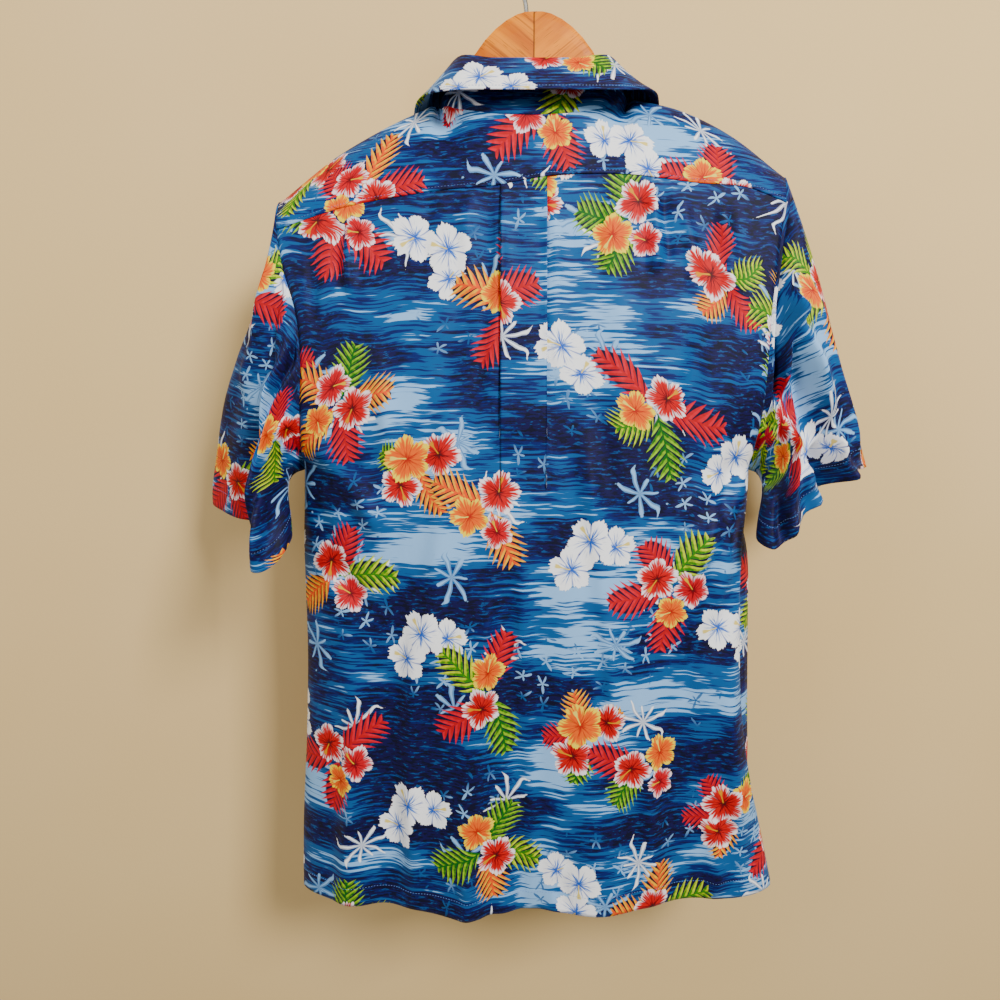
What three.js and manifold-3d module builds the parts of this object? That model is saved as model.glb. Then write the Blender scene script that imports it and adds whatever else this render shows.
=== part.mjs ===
// A short-sleeved camp-collar shirt hanging on a wooden hanger.
// Millimetres, +Z up. The shirt's back faces +Y, its front faces -Y, and +X is the wearer's left.
// The origin is the underside of the hook's crown, where a rail carries it.
import * as THREE from "three";
import Module from "manifold-3d";

const wasm = await Module();
wasm.setup();

// Cloth
const CLOTH = 1.2; // thickness of the wall
const SEAM_GAP = 0.3; // between two pieces at a seam
const SETBACK = 1.55; // to the middle of a wall that leaves its neighbour at an angle
const LEFT = 1;
const RIGHT = -1;

// Levels of the garment
const HEM_Z = -955;
const ARMPIT_Z = -500;
const SEAM_BACK = 1.5; // how far back a side seam lies, for each millimetre that the front wraps past it

// Box pleat in the back, below the yoke
const PLEAT = { centre: 10, half: 20, underlap: 12, layer: 1.6, opensFrom: -330, openBelow: -560 };

// Front closing
const OVERLAP = 13; // each front passes the centre by this much
const UNDER_FRONT = 2.4; // the right front lies this far inside the left one where they overlap
const BUTTON = { radius: 5.6, thickness: 2.4, rim: 0.7, count: 6, top: -282, pitch: 98 };

// Outline of the body at each level: left and right are the edges of the panels (armhole, then side seam), and
// round is how sharply a section turns at its sides. wrap is how far the right front bulges past its side
// seam, which lies towards the back there.
const BODY = [
  { z: -225, left: 245, right: 243, round: 1.1, wrap: 0 },
  { z: -265, left: 244, right: 236, round: 1.1, wrap: 0 },
  { z: -305, left: 238, right: 231, round: 1.15, wrap: 0 },
  { z: -345, left: 227, right: 227, round: 1.2, wrap: 0 },
  { z: -390, left: 224, right: 226, round: 1.3, wrap: 0 },
  { z: -440, left: 228, right: 225, round: 1.5, wrap: 0 },
  { z: -480, left: 232, right: 223, round: 1.8, wrap: 0 },
  { z: -500, left: 233, right: 223, round: 2, wrap: 0 },
  { z: -530, left: 234, right: 223, round: 2.1, wrap: 2 },
  { z: -580, left: 236, right: 222, round: 2.2, wrap: 11 },
  { z: -660, left: 236, right: 224, round: 2.2, wrap: 13 },
  { z: -750, left: 239, right: 230, round: 2.2, wrap: 12 },
  { z: -850, left: 246, right: 246, round: 2.2, wrap: 6 },
  { z: -875, left: 248, right: 251, round: 2.1, wrap: 2 },
  { z: -905, left: 249, right: 257, round: 2.1, wrap: 0 },
  { z: -955, left: 250, right: 268, round: 2, wrap: 0 },
];

// How far back the edges of the panels lie at each level, and the middles of the back and the front.
const DEPTH = [
  { z: -225, backEdge: 24, frontEdge: -34, backMid: 38, frontMid: -46 },
  { z: -265, backEdge: 27, frontEdge: -37, backMid: 42, frontMid: -51 },
  { z: -305, backEdge: 31, frontEdge: -39, backMid: 46, frontMid: -56 },
  { z: -345, backEdge: 34, frontEdge: -40, backMid: 50, frontMid: -60 },
  { z: -390, backEdge: 34, frontEdge: -38, backMid: 53, frontMid: -63 },
  { z: -440, backEdge: 29, frontEdge: -33, backMid: 55, frontMid: -65 },
  { z: -480, backEdge: 14, frontEdge: -18, backMid: 56, frontMid: -66 },
  { z: -500, backEdge: -1.4, frontEdge: -2.6, backMid: 57, frontMid: -66 },
  { z: -530, backEdge: -1.4, frontEdge: -2.6, backMid: 58, frontMid: -67 },
  { z: -580, backEdge: -1.4, frontEdge: -2.6, backMid: 58, frontMid: -67 },
  { z: -660, backEdge: -1.4, frontEdge: -2.6, backMid: 58, frontMid: -68 },
  { z: -750, backEdge: -1.4, frontEdge: -2.6, backMid: 58, frontMid: -69 },
  { z: -850, backEdge: -1.4, frontEdge: -2.6, backMid: 58, frontMid: -70 },
  { z: -875, backEdge: -1.2, frontEdge: -2.8, backMid: 58, frontMid: -70 },
  { z: -905, backEdge: 1, frontEdge: -5, backMid: 58, frontMid: -70 },
  { z: -955, backEdge: 4, frontEdge: -9, backMid: 58, frontMid: -70 },
];

// The yoke's back seam, from the wearer's right armhole to the left one.
const YOKE_SEAM = [
  { x: -243, z: -253 },
  { x: -200, z: -240 },
  { x: -152, z: -236 },
  { x: -77, z: -229 },
  { x: -14, z: -229 },
  { x: 33, z: -232 },
  { x: 89, z: -239 },
  { x: 126, z: -246 },
  { x: 178, z: -262 },
  { x: 245, z: -281 },
];

// The yoke's other edge on one side: round the neck, then along the front shoulder seam. over is how far
// the cloth lies over the arm of the hanger there, and the ridges are the highest line of each shoulder.
const YOKE_TOP = [
  { share: 0.0, x: 0, y: 30, left: -163, right: -163, over: 0, ridgeLeft: -163, ridgeRight: -163 },
  { share: 0.18, x: 42, y: 28, left: -161, right: -160, over: 0, ridgeLeft: -163, ridgeRight: -163 },
  { share: 0.3, x: 71, y: 18, left: -155, right: -153, over: 0.1, ridgeLeft: -160, ridgeRight: -158 },
  { share: 0.38, x: 86, y: 3, left: -147, right: -143, over: 0.4, ridgeLeft: -149, ridgeRight: -146 },
  { share: 0.44, x: 93, y: -16, left: -149, right: -143, over: 1, ridgeLeft: -146, ridgeRight: -141 },
  { share: 0.62, x: 141, y: -28, left: -181, right: -167, over: 1, ridgeLeft: -167, ridgeRight: -151 },
  { share: 0.8, x: 193, y: -33, left: -212, right: -191, over: 1, ridgeLeft: -195, ridgeRight: -174 },
  { share: 1.0, x: 247, y: -36, left: -257, right: -238, over: 1, ridgeLeft: -236, ridgeRight: -213 },
];

// Neck edge of the fronts, from the front edge to the neck point, where the shoulder seam begins.
const FRONT_NECK = [
  { share: 0.0, x: -13, y: -47.5, z: -236 },
  { share: 0.07, x: 5, y: -47.5, z: -236 },
  { share: 0.15, x: 26, y: -46, z: -230 },
  { share: 0.23, x: 48, y: -42, z: -217 },
  { share: 0.31, x: 69, y: -35, z: -197 },
  { share: 0.38, x: 84, y: -27, z: -174 },
  { share: 0.44, x: 93, y: -16, z: -149 },
];

// Soft folds that hang in the cloth: where each runs at its upper and lower end, how wide it is and
// how far it stands out (or in, where depth is below 0). grow below 1 reaches its depth early.
const BACK_FOLDS = [
  { topX: 52, topZ: -480, lowX: 66, lowZ: -955, width: 30, depth: 13, grow: 0.8 },
  { topX: 8, topZ: -520, lowX: 0, lowZ: -955, width: 20, depth: -9, grow: 0.8 },
  { topX: -30, topZ: -500, lowX: -72, lowZ: -955, width: 32, depth: 8, grow: 0.8 },
  { topX: 120, topZ: -520, lowX: 152, lowZ: -955, width: 24, depth: -8, grow: 0.7 },
  { topX: -120, topZ: -560, lowX: -165, lowZ: -955, width: 42, depth: -13, grow: 0.7 },
  { topX: -208, topZ: -430, lowX: -150, lowZ: -760, width: 9, depth: -6, grow: 0 },
  { topX: 200, topZ: -430, lowX: 186, lowZ: -955, width: 20, depth: 5, grow: 0.5 },
  { topX: 32, topZ: -500, lowX: 42, lowZ: -955, width: 9, depth: -4, grow: 0.2 },
];
const FRONT_FOLDS = [
  { topX: 60, topZ: -440, lowX: 82, lowZ: -955, width: 30, depth: -12, grow: 0.8 },
  { topX: 118, topZ: -420, lowX: 140, lowZ: -955, width: 24, depth: 10, grow: 0.7 },
  { topX: 190, topZ: -470, lowX: 194, lowZ: -955, width: 22, depth: -7, grow: 0.6 },
  { topX: -70, topZ: -460, lowX: -92, lowZ: -955, width: 34, depth: -10, grow: 0.8 },
  { topX: -135, topZ: -430, lowX: -152, lowZ: -955, width: 22, depth: 9, grow: 0.6 },
  { topX: -196, topZ: -480, lowX: -204, lowZ: -955, width: 22, depth: -6, grow: 0.6 },
];

// Hem of each sleeve as a loop: share 0 is its outer corner, and it runs along the back, round the underarm
// at 0.5 and along the front.
const LEFT_CUFF = [
  { share: 0.0, x: 347, y: -56, z: -538 },
  { share: 0.07, x: 335, y: -34, z: -546 },
  { share: 0.14, x: 310, y: -12, z: -552 },
  { share: 0.2, x: 286, y: 12, z: -555 },
  { share: 0.25, x: 281, y: 38, z: -564 },
  { share: 0.31, x: 284, y: 64, z: -580 },
  { share: 0.37, x: 268, y: 84, z: -587 },
  { share: 0.43, x: 242, y: 82, z: -576 },
  { share: 0.48, x: 230, y: 64, z: -558 },
  { share: 0.54, x: 242, y: 38, z: -546 },
  { share: 0.62, x: 256, y: 8, z: -541 },
  { share: 0.72, x: 278, y: -20, z: -537 },
  { share: 0.84, x: 310, y: -48, z: -536 },
  { share: 0.94, x: 338, y: -66, z: -536 },
];
const RIGHT_CUFF = [
  { share: 0.0, x: -354, y: -20, z: -499 },
  { share: 0.07, x: -340, y: 8, z: -497 },
  { share: 0.14, x: -320, y: 32, z: -496 },
  { share: 0.2, x: -302, y: 38, z: -504 },
  { share: 0.26, x: -286, y: 26, z: -520 },
  { share: 0.32, x: -264, y: 46, z: -540 },
  { share: 0.38, x: -244, y: 64, z: -558 },
  { share: 0.43, x: -228, y: 68, z: -569 },
  { share: 0.48, x: -216, y: 54, z: -562 },
  { share: 0.54, x: -228, y: 30, z: -549 },
  { share: 0.62, x: -244, y: 4, z: -542 },
  { share: 0.72, x: -270, y: -18, z: -535 },
  { share: 0.84, x: -306, y: -38, z: -526 },
  { share: 0.94, x: -340, y: -42, z: -508 },
];

// Which way each sleeve leaves its armhole, by the same share of the loop. left and right are away from the
// body, for the sleeve of that side.
const SLEEVE_LEAVES = [
  { share: 0.0, left: 0.12, right: 0.42, y: -0.02, z: -0.98 },
  { share: 0.12, left: 0.25, right: 0.45, y: 0.15, z: -0.95 },
  { share: 0.25, left: 0.45, right: 0.5, y: 0.3, z: -0.8 },
  { share: 0.4, left: 0.85, right: 0.85, y: 0.3, z: -0.5 },
  { share: 0.5, left: 1.0, right: 1.0, y: 0.1, z: -0.2 },
  { share: 0.6, left: 0.9, right: 0.9, y: -0.2, z: -0.5 },
  { share: 0.75, left: 0.5, right: 0.5, y: -0.35, z: -0.8 },
  { share: 0.88, left: 0.2, right: 0.42, y: -0.2, z: -0.95 },
];

// Folds of the sleeves: where each is on the loop, how far down it is deepest, its spread and its depth.
const LEFT_SLEEVE_FOLDS = [
  { share: 0.2, down: 0.55, wide: 0.05, long: 0.4, depth: -10 },
  { share: 0.31, down: 0.55, wide: 0.06, long: 0.4, depth: 13 },
  { share: 0.42, down: 0.5, wide: 0.03, long: 0.22, depth: -6 },
];
const RIGHT_SLEEVE_FOLDS = [
  { share: 0.31, down: 0.3, wide: 0.045, long: 0.34, depth: -13 },
  { share: 0.19, down: 0.45, wide: 0.06, long: 0.5, depth: 7 },
  { share: 0.42, down: 0.55, wide: 0.04, long: 0.25, depth: 5 },
];

// The collar on one side, from the middle of the back to its front end: the fold along its top and the free
// edge of the fall. rise and out move the free edge on the wearer's right, whose shoulder hangs higher.
const COLLAR = [
  { share: 0.0, foldX: 0, foldY: 13, foldZ: -112, edgeX: 0, edgeY: 51, edgeZ: -153, rise: 0, out: 0 },
  { share: 0.14, foldX: 36, foldY: 13, foldZ: -112, edgeX: 44, edgeY: 51, edgeZ: -153, rise: 0, out: 0 },
  { share: 0.26, foldX: 66, foldY: 9, foldZ: -108, edgeX: 82, edgeY: 45, edgeZ: -152, rise: 1, out: 2 },
  { share: 0.36, foldX: 82, foldY: -4, foldZ: -118, edgeX: 106, edgeY: 20, edgeZ: -148, rise: 6, out: 5 },
  { share: 0.46, foldX: 88, foldY: -22, foldZ: -132, edgeX: 116, edgeY: -10, edgeZ: -152, rise: 9, out: 7 },
  { share: 0.56, foldX: 84, foldY: -36, foldZ: -152, edgeX: 118, edgeY: -38, edgeZ: -171, rise: 9, out: 8 },
  { share: 0.7, foldX: 68, foldY: -46, foldZ: -182, edgeX: 112, edgeY: -58, edgeZ: -209, rise: 4, out: 5 },
  { share: 0.85, foldX: 44, foldY: -53, foldZ: -209, edgeX: 90, edgeY: -69, edgeZ: -251, rise: 0, out: 0 },
  { share: 1.0, foldX: 17, foldY: -56, foldZ: -224, edgeX: 58, edgeY: -74, edgeZ: -293, rise: 0, out: 0 },
];

// Hanger: top and bottom edges of an arm and its thickness, by the distance from the middle.
const ARM = [
  { x: 0, top: -65, bottom: -150, half: 7, y: 0 },
  { x: 10, top: -65.5, bottom: -150, half: 7, y: 0 },
  { x: 24, top: -71, bottom: -152, half: 7, y: 0 },
  { x: 42, top: -85, bottom: -157, half: 7, y: 0 },
  { x: 58, top: -105, bottom: -163, half: 7, y: -0.5 },
  { x: 72, top: -134, bottom: -171, half: 6.6, y: -3 },
  { x: 88, top: -161, bottom: -184, half: 6.6, y: -6 },
  { x: 112, top: -161.5, bottom: -187, half: 8.5, y: -7 },
  { x: 150, top: -175.5, bottom: -203, half: 11, y: -8 },
  { x: 190, top: -195.2, bottom: -224, half: 13, y: -10 },
  { x: 212, top: -210.7, bottom: -235, half: 12, y: -12 },
  { x: 222, top: -222, bottom: -234, half: 7, y: -13 },
];
const HANGER_TILT = 0.026; // its fall towards the wearer's left, as a slope
const BORE = { x: 7, radius: 2.8, foot: -96 };

// Middle line of the hook's wire, from its foot in the wood to its tip.
const HOOK_WIRE = 2.2; // radius
const HOOK = [
  { x: 7, z: -94 },
  { x: 7, z: -80 },
  { x: 7, z: -66 },
  { x: 9, z: -54 },
  { x: 16, z: -43 },
  { x: 21.5, z: -32 },
  { x: 22.5, z: -20 },
  { x: 18.5, z: -7 },
  { x: 10, z: 0 },
  { x: 0, z: 2.2 },
  { x: -11, z: 0 },
  { x: -19, z: -8 },
  { x: -22.5, z: -19 },
  { x: -22, z: -27 },
];

// Colours read from the photograph
const finish = (color, roughness, metalness = 0) =>
  new THREE.MeshStandardMaterial({ color, roughness, metalness });
const LOOKS = {
  back: finish(0x1f5fa8, 0.78),
  yoke: finish(0x2a6fb4, 0.78),
  front: finish(0x1c549c, 0.78),
  sleeve: finish(0x255fa6, 0.78),
  collar: finish(0x3477b8, 0.76),
  button: finish(0xe9e2cf, 0.35),
  wood: finish(0xe39a52, 0.45),
  wire: finish(0x9a9890, 0.28, 0.95),
};

const clamp = (v, low, high) => Math.min(Math.max(v, low), high);
const mix = (a, b, t) => a + (b - a) * t;
const smooth = (t) => {
  const c = clamp(t, 0, 1);
  return c * c * (3 - 2 * c);
};

// A smooth function through one column of a table, by another column that only rises or only falls.
function column(rows, by, name) {
  const last = rows.length - 1;
  const slope = (a, b) => (b[name] - a[name]) / (b[by] - a[by]);
  const slopes = rows.map((row, i) => {
    const before = i > 0 ? slope(rows[i - 1], row) : slope(row, rows[1]);
    const after = i < last ? slope(row, rows[i + 1]) : before;
    return before * after > 0 ? (before + after) / 2 : 0;
  });
  const rising = rows[last][by] > rows[0][by];
  return (at) => {
    let i = 0;
    while (i < last - 1 && (rising ? at > rows[i + 1][by] : at < rows[i + 1][by])) i++;
    const span = rows[i + 1][by] - rows[i][by];
    const t = clamp((at - rows[i][by]) / span, 0, 1);
    return hermite(rows[i][name], slopes[i] * span, rows[i + 1][name], slopes[i + 1] * span, t);
  };
}

function hermite(a, slopeA, b, slopeB, t) {
  const t2 = t * t;
  const t3 = t2 * t;
  return a * (2 * t3 - 3 * t2 + 1) + slopeA * (t3 - 2 * t2 + t) + b * (3 * t2 - 2 * t3) + slopeB * (t3 - t2);
}

function columns(rows, by) {
  const names = Object.keys(rows[0]).filter((name) => name !== by);
  return Object.fromEntries(names.map((name) => [name, column(rows, by, name)]));
}

const hermitePoint = (a, da, b, db, t) =>
  new THREE.Vector3(
    hermite(a.x, da.x, b.x, db.x, t),
    hermite(a.y, da.y, b.y, db.y, t),
    hermite(a.z, da.z, b.z, db.z, t),
  );

const body = { ...columns(BODY, "z"), ...columns(DEPTH, "z") };
const yokeSeamZ = column(YOKE_SEAM, "x", "z");
const frontNeck = columns(FRONT_NECK, "share");
const collar = columns(COLLAR, "share");
const arm = columns(ARM, "x");
const RIDGE_AT = 0.66; // where the yoke crosses the top of the shoulder, between its two seams
const NECK_POINT = 0.44; // share at which the neck ends and the shoulder seam begins
const yokeNeck = columns(YOKE_TOP.filter((row) => row.share <= NECK_POINT), "share");
const yokeShoulder = columns(YOKE_TOP.filter((row) => row.share >= NECK_POINT), "share");
const yokeTopAt = (share) => (share < NECK_POINT ? yokeNeck : yokeShoulder);

// Shares across half a garment at which the columns of neighbouring pieces meet.
const BACK_NECK_SHARES = [0, 0.09, 0.18, 0.25, 0.31, 0.37, 0.41];
const FRONT_NECK_SHARES = [0.15, 0.2, 0.26, 0.32, 0.37, 0.41];
const SHOULDER_SHARES = [0.44, 0.52, 0.6, 0.68, 0.76, 0.84, 0.92];

// How far down the fronts and the back their rows lie: closer round the armhole.
const ARMHOLE_ROWS = [0, 0.025, 0.05, 0.08, 0.11, 0.14, 0.17, 0.2, 0.23, 0.26, 0.29, 0.315, 0.335, 0.35];
const ROWS = [...ARMHOLE_ROWS, 0.42, 0.54, 0.68, 0.84, 1];

const edgeX = (side, z) => side * (side === LEFT ? body.left(z) : body.right(z));

// How far the folds of a table move the cloth at x, z.
function foldedBy(folds, x, z) {
  return folds.reduce((sum, fold) => {
    const down = (fold.topZ - z) / (fold.topZ - fold.lowZ);
    if (down <= 0) return sum;
    const middle = mix(fold.topX, fold.lowX, Math.min(down, 1));
    const ends = fold.lowZ > HEM_Z ? smooth(4 * down) * smooth(4 * (1 - down)) : smooth(3 * down);
    const rise = fold.grow > 0 ? ends * Math.min(down, 1) ** fold.grow : ends;
    return sum + fold.depth * rise * Math.exp(-(((x - middle) / fold.width) ** 2));
  }, 0);
}

// A section of the body at level z: share runs from 0 at the middle to 1 at the panel's edge.
function sectionY(edge, middle, round, share) {
  return edge + (middle - edge) * Math.max(0, 1 - Math.abs(share) ** 2.6) ** (1 / round);
}

// Back panel. The pleat's columns are stated as cloth that is folded at the top and opens out below.
const pleatFolds = [
  { folded: 0, layer: 2, open: 0 },
  { folded: 0.7, layer: 1.5, open: 1.2 },
  { folded: 0, layer: 1, open: 2.4 },
  { folded: -PLEAT.underlap, layer: 1, open: PLEAT.underlap },
  { folded: -PLEAT.underlap - 0.7, layer: 0.5, open: PLEAT.underlap + 1.2 },
  { folded: -PLEAT.underlap, layer: 0, open: PLEAT.underlap + 2.4 },
  { folded: 4, layer: 0, open: 2 * PLEAT.underlap + 4 },
];
const pleatOpening = (z) => smooth((PLEAT.opensFrom - z) / (PLEAT.opensFrom - PLEAT.openBelow));

const sideShares = [0.16, 0.34, 0.5, 0.64, 0.76, 0.86, 0.93, 0.975, 1];
const backColumns = [
  ...sideShares.map((share) => ({ side: LEFT, share })).reverse(),
  ...pleatFolds.map((fold) => ({ side: LEFT, fold })).reverse(),
  { side: LEFT, fold: { folded: -PLEAT.half, layer: 2, open: -PLEAT.half } },
  ...pleatFolds.map((fold) => ({ side: RIGHT, fold })),
  ...sideShares.map((share) => ({ side: RIGHT, share })),
];

function backPoint(col, z) {
  const opening = pleatOpening(z);
  const outer = pleatFolds.at(-1);
  const pleatEdge = PLEAT.half + mix(outer.folded, outer.open, opening);
  const edge = Math.abs(edgeX(col.side, z) - PLEAT.centre);
  const away = col.fold
    ? PLEAT.half + mix(col.fold.folded, col.fold.open, opening)
    : mix(pleatEdge, edge, col.share);
  const x = PLEAT.centre + col.side * away;
  const seamBack = col.side === RIGHT ? SEAM_BACK * body.wrap(z) * smooth((away / edge - 0.6) / 0.4) : 0;
  const raised = col.fold ? col.fold.layer * PLEAT.layer * (1 - opening) : 0;
  const y = sectionY(body.backEdge(z), body.backMid(z), body.round(z), away / edge);
  return new THREE.Vector3(x, y + raised + seamBack + foldedBy(BACK_FOLDS, x, z), z);
}

// The yoke's edge round the neck and along the shoulder seam.
function yokeEdge(side, share) {
  const edge = yokeTopAt(share);
  const z = side === LEFT ? edge.left(share) : edge.right(share);
  return new THREE.Vector3(side * edge.x(share), edge.y(share), z);
}

// Top edge of a front: share runs from its front edge to the armhole.
function frontTop(side, share) {
  if (share < NECK_POINT) {
    const lift = side === RIGHT ? 6 * smooth((share - 0.15) / 0.29) : 0;
    return new THREE.Vector3(side * frontNeck.x(share), frontNeck.y(share), frontNeck.z(share) + lift);
  }
  return yokeEdge(side, share).add(new THREE.Vector3(0, -0.4, -0.6));
}

function frontPoint(side, share, down) {
  const top = frontTop(side, share);
  const z = mix(top.z, HEM_Z, down);
  const inner = -side * OVERLAP;
  const bodyX = mix(inner, edgeX(side, z), share);
  const toSide = Math.min(Math.abs(bodyX / edgeX(side, z)), 1);
  const bodyY = sectionY(body.frontEdge(z), body.frontMid(z), body.round(z), toSide);
  const settled = smooth((top.z - z) / 100);
  const wrap = side === RIGHT ? body.wrap(z) : 0;
  const bulge = wrap * smooth((share - 0.75) / 0.2) * (1 - smooth((share - 0.95) / 0.05));
  const x = mix(top.x, bodyX, settled) + side * bulge;
  const seamBack = SEAM_BACK * wrap * smooth((share - 0.9) / 0.1);
  const y = mix(top.y - 0.25 * (top.z - z), bodyY, settled) + seamBack;
  const under = side === RIGHT ? UNDER_FRONT * smooth((x + 3 * OVERLAP) / (2 * OVERLAP)) : 0;
  const offPlacket = smooth((Math.abs(x) - 1.4 * OVERLAP) / (2 * OVERLAP));
  return new THREE.Vector3(x, y + under + foldedBy(FRONT_FOLDS, x, z) * offPlacket, z);
}

// Yoke: share runs from -1 at the wearer's right armhole to 1 at the left, over from the back seam to the front.
function yokePoint(share, over) {
  const side = share < 0 ? RIGHT : LEFT;
  const at = Math.abs(share);
  const seamX = side * (side === LEFT ? 244 : 238.5) * at ** 1.08;
  const seamZ = yokeSeamZ(seamX) + 0.35;
  const toSide = Math.min(Math.abs((seamX - PLEAT.centre) / (edgeX(side, seamZ) - PLEAT.centre)), 1);
  const seamY = sectionY(body.backEdge(seamZ), body.backMid(seamZ), body.round(seamZ), toSide);
  const from = new THREE.Vector3(seamX, seamY, seamZ);
  const to = yokeEdge(side, at);
  const ridgeZ = side === LEFT ? yokeTopAt(at).ridgeLeft(at) : yokeTopAt(at).ridgeRight(at);
  const lies = yokeTopAt(at).over(at);
  const straight = from.clone().lerp(to, RIDGE_AT);
  const top = new THREE.Vector3(side * mix(Math.abs(seamX), Math.abs(to.x), 0.7), -6, ridgeZ);
  const ridge = straight.lerp(top, lies);
  const span = to.clone().sub(from);
  const start = new THREE.Vector3(0, -0.1, 1).multiplyScalar(span.length() * mix(1, 1.1, lies));
  const crest = span.clone().lerp(new THREE.Vector3(span.x * 0.6, -58, -4), lies);
  const finish = span.clone().lerp(new THREE.Vector3(0, -20, -52), lies);
  const rest = 1 - RIDGE_AT;
  if (over < RIDGE_AT) {
    start.multiplyScalar(RIDGE_AT);
    crest.multiplyScalar(RIDGE_AT);
    return hermitePoint(from, start, ridge, crest, over / RIDGE_AT);
  }
  crest.multiplyScalar(rest);
  finish.multiplyScalar(rest);
  return hermitePoint(ridge, crest, to, finish, (over - RIDGE_AT) / rest);
}

// Closed wall over a grid of points: rows of equal length, each a list of Vector3. A looped grid joins the end
// of each row to its start. The wall lies half its thickness to each side of the grid.
function wall(grid, looped = false) {
  const m = grid.length;
  const n = grid[0].length;
  const at = (i, j) => grid[clamp(i, 0, m - 1)][looped ? (j + n) % n : clamp(j, 0, n - 1)];
  const positions = [];
  const normals = grid.map((row, i) =>
    row.map((_, j) => {
      const alongRow = at(i, j + 1).clone().sub(at(i, j - 1));
      const alongColumn = at(i + 1, j).clone().sub(at(i - 1, j));
      return alongColumn.cross(alongRow).normalize();
    }),
  );
  for (const sign of [1, -1])
    grid.forEach((row, i) =>
      row.forEach((point, j) => {
        positions.push(...point.clone().addScaledVector(normals[i][j], (sign * CLOTH) / 2).toArray());
      }),
    );
  const outer = (i, j) => i * n + (looped ? j % n : j);
  const inner = (i, j) => m * n + outer(i, j);
  const faces = [];
  const quad = (a, b, c, d) => faces.push(a, b, c, a, c, d);
  const columnsJoined = looped ? n : n - 1;
  for (let i = 0; i < m - 1; i++)
    for (let j = 0; j < columnsJoined; j++) {
      quad(outer(i, j), outer(i + 1, j), outer(i + 1, j + 1), outer(i, j + 1));
      quad(inner(i, j), inner(i, j + 1), inner(i + 1, j + 1), inner(i + 1, j));
    }
  for (let j = 0; j < columnsJoined; j++) {
    quad(outer(0, j), outer(0, j + 1), inner(0, j + 1), inner(0, j));
    quad(outer(m - 1, j), inner(m - 1, j), inner(m - 1, j + 1), outer(m - 1, j + 1));
  }
  if (!looped)
    for (let i = 0; i < m - 1; i++) {
      quad(outer(i, 0), inner(i, 0), inner(i + 1, 0), outer(i + 1, 0));
      quad(outer(i, n - 1), outer(i + 1, n - 1), inner(i + 1, n - 1), inner(i, n - 1));
    }
  return new THREE.BufferGeometry()
    .setAttribute("position", new THREE.Float32BufferAttribute(positions, 3))
    .setIndex(faces);
}

const shirt = new THREE.Group();

// Turns a closed shape's faces outward where its points were listed the other way round.
function facingOut(geometry) {
  const { attributes, index } = geometry;
  const at = (i) => new THREE.Vector3().fromBufferAttribute(attributes.position, index.getX(i));
  let volume = 0;
  for (let i = 0; i < index.count; i += 3) volume += at(i).dot(at(i + 1).cross(at(i + 2)));
  if (volume < 0) geometry.setIndex([...index.array].reverse());
  return geometry;
}

function add(name, geometry, look) {
  const mesh = new THREE.Mesh(facingOut(geometry), look);
  mesh.name = name;
  shirt.add(mesh);
  return mesh;
}

// Closed solid through rings of equal length, capped at both ends by a point in the middle of each ring.
function capped(rings) {
  const n = rings[0].length;
  const positions = rings.flat().flatMap((point) => point.toArray());
  const faces = [];
  for (let i = 0; i < rings.length - 1; i++)
    for (let j = 0; j < n; j++) {
      const k = (j + 1) % n;
      faces.push(i * n + j, i * n + k, (i + 1) * n + k, i * n + j, (i + 1) * n + k, (i + 1) * n + j);
    }
  for (const [ring, first] of [[0, true], [rings.length - 1, false]]) {
    const middle = rings[ring].reduce((sum, point) => sum.add(point), new THREE.Vector3()).divideScalar(n);
    const centre = positions.length / 3;
    positions.push(...middle.toArray());
    for (let j = 0; j < n; j++) {
      const k = (j + 1) % n;
      faces.push(centre, ring * n + (first ? k : j), ring * n + (first ? j : k));
    }
  }
  return new THREE.BufferGeometry()
    .setAttribute("position", new THREE.Float32BufferAttribute(positions, 3))
    .setIndex(faces);
}

const toManifold = (geometry) =>
  new wasm.Manifold(
    new wasm.Mesh({
      numProp: 3,
      vertProperties: new Float32Array(geometry.attributes.position.array),
      triVerts: new Uint32Array(geometry.index.array),
    }),
  );

function fromManifold(solid) {
  const mesh = solid.getMesh();
  return new THREE.BufferGeometry()
    .setAttribute("position", new THREE.BufferAttribute(new Float32Array(mesh.vertProperties), 3))
    .setIndex([...mesh.triVerts]);
}

const steps = (count, from = 0, to = 1) =>
  Array.from({ length: count + 1 }, (_, i) => mix(from, to, i / count));

function makeBack() {
  const topOf = (col) => yokeSeamZ(clamp(backPoint(col, -240).x, -238.5, 244)) - 0.35;
  const grid = backColumns.map((col) => ROWS.map((t) => backPoint(col, mix(topOf(col), HEM_Z, t))));
  add("back", wall(grid), LOOKS.back);
}

function makeYoke() {
  const half = [...BACK_NECK_SHARES, ...SHOULDER_SHARES, 1];
  const all = [...half.slice(1).reverse().map((share) => -share), ...half];
  const overs = [...steps(5, 0, RIDGE_AT), ...steps(5, RIDGE_AT, 1).slice(1)];
  const grid = all.reverse().map((share) => overs.map((over) => yokePoint(share, over)));
  add("yoke", wall(grid), LOOKS.yoke);
}

function makeFront(side, name) {
  const shares = [0, 0.05, 0.1, ...FRONT_NECK_SHARES, ...SHOULDER_SHARES, 0.96, 0.985, 1];
  const grid = shares.map((share) => ROWS.map((down) => frontPoint(side, share, down)));
  add(name, wall(grid), LOOKS.front);
}

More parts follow.
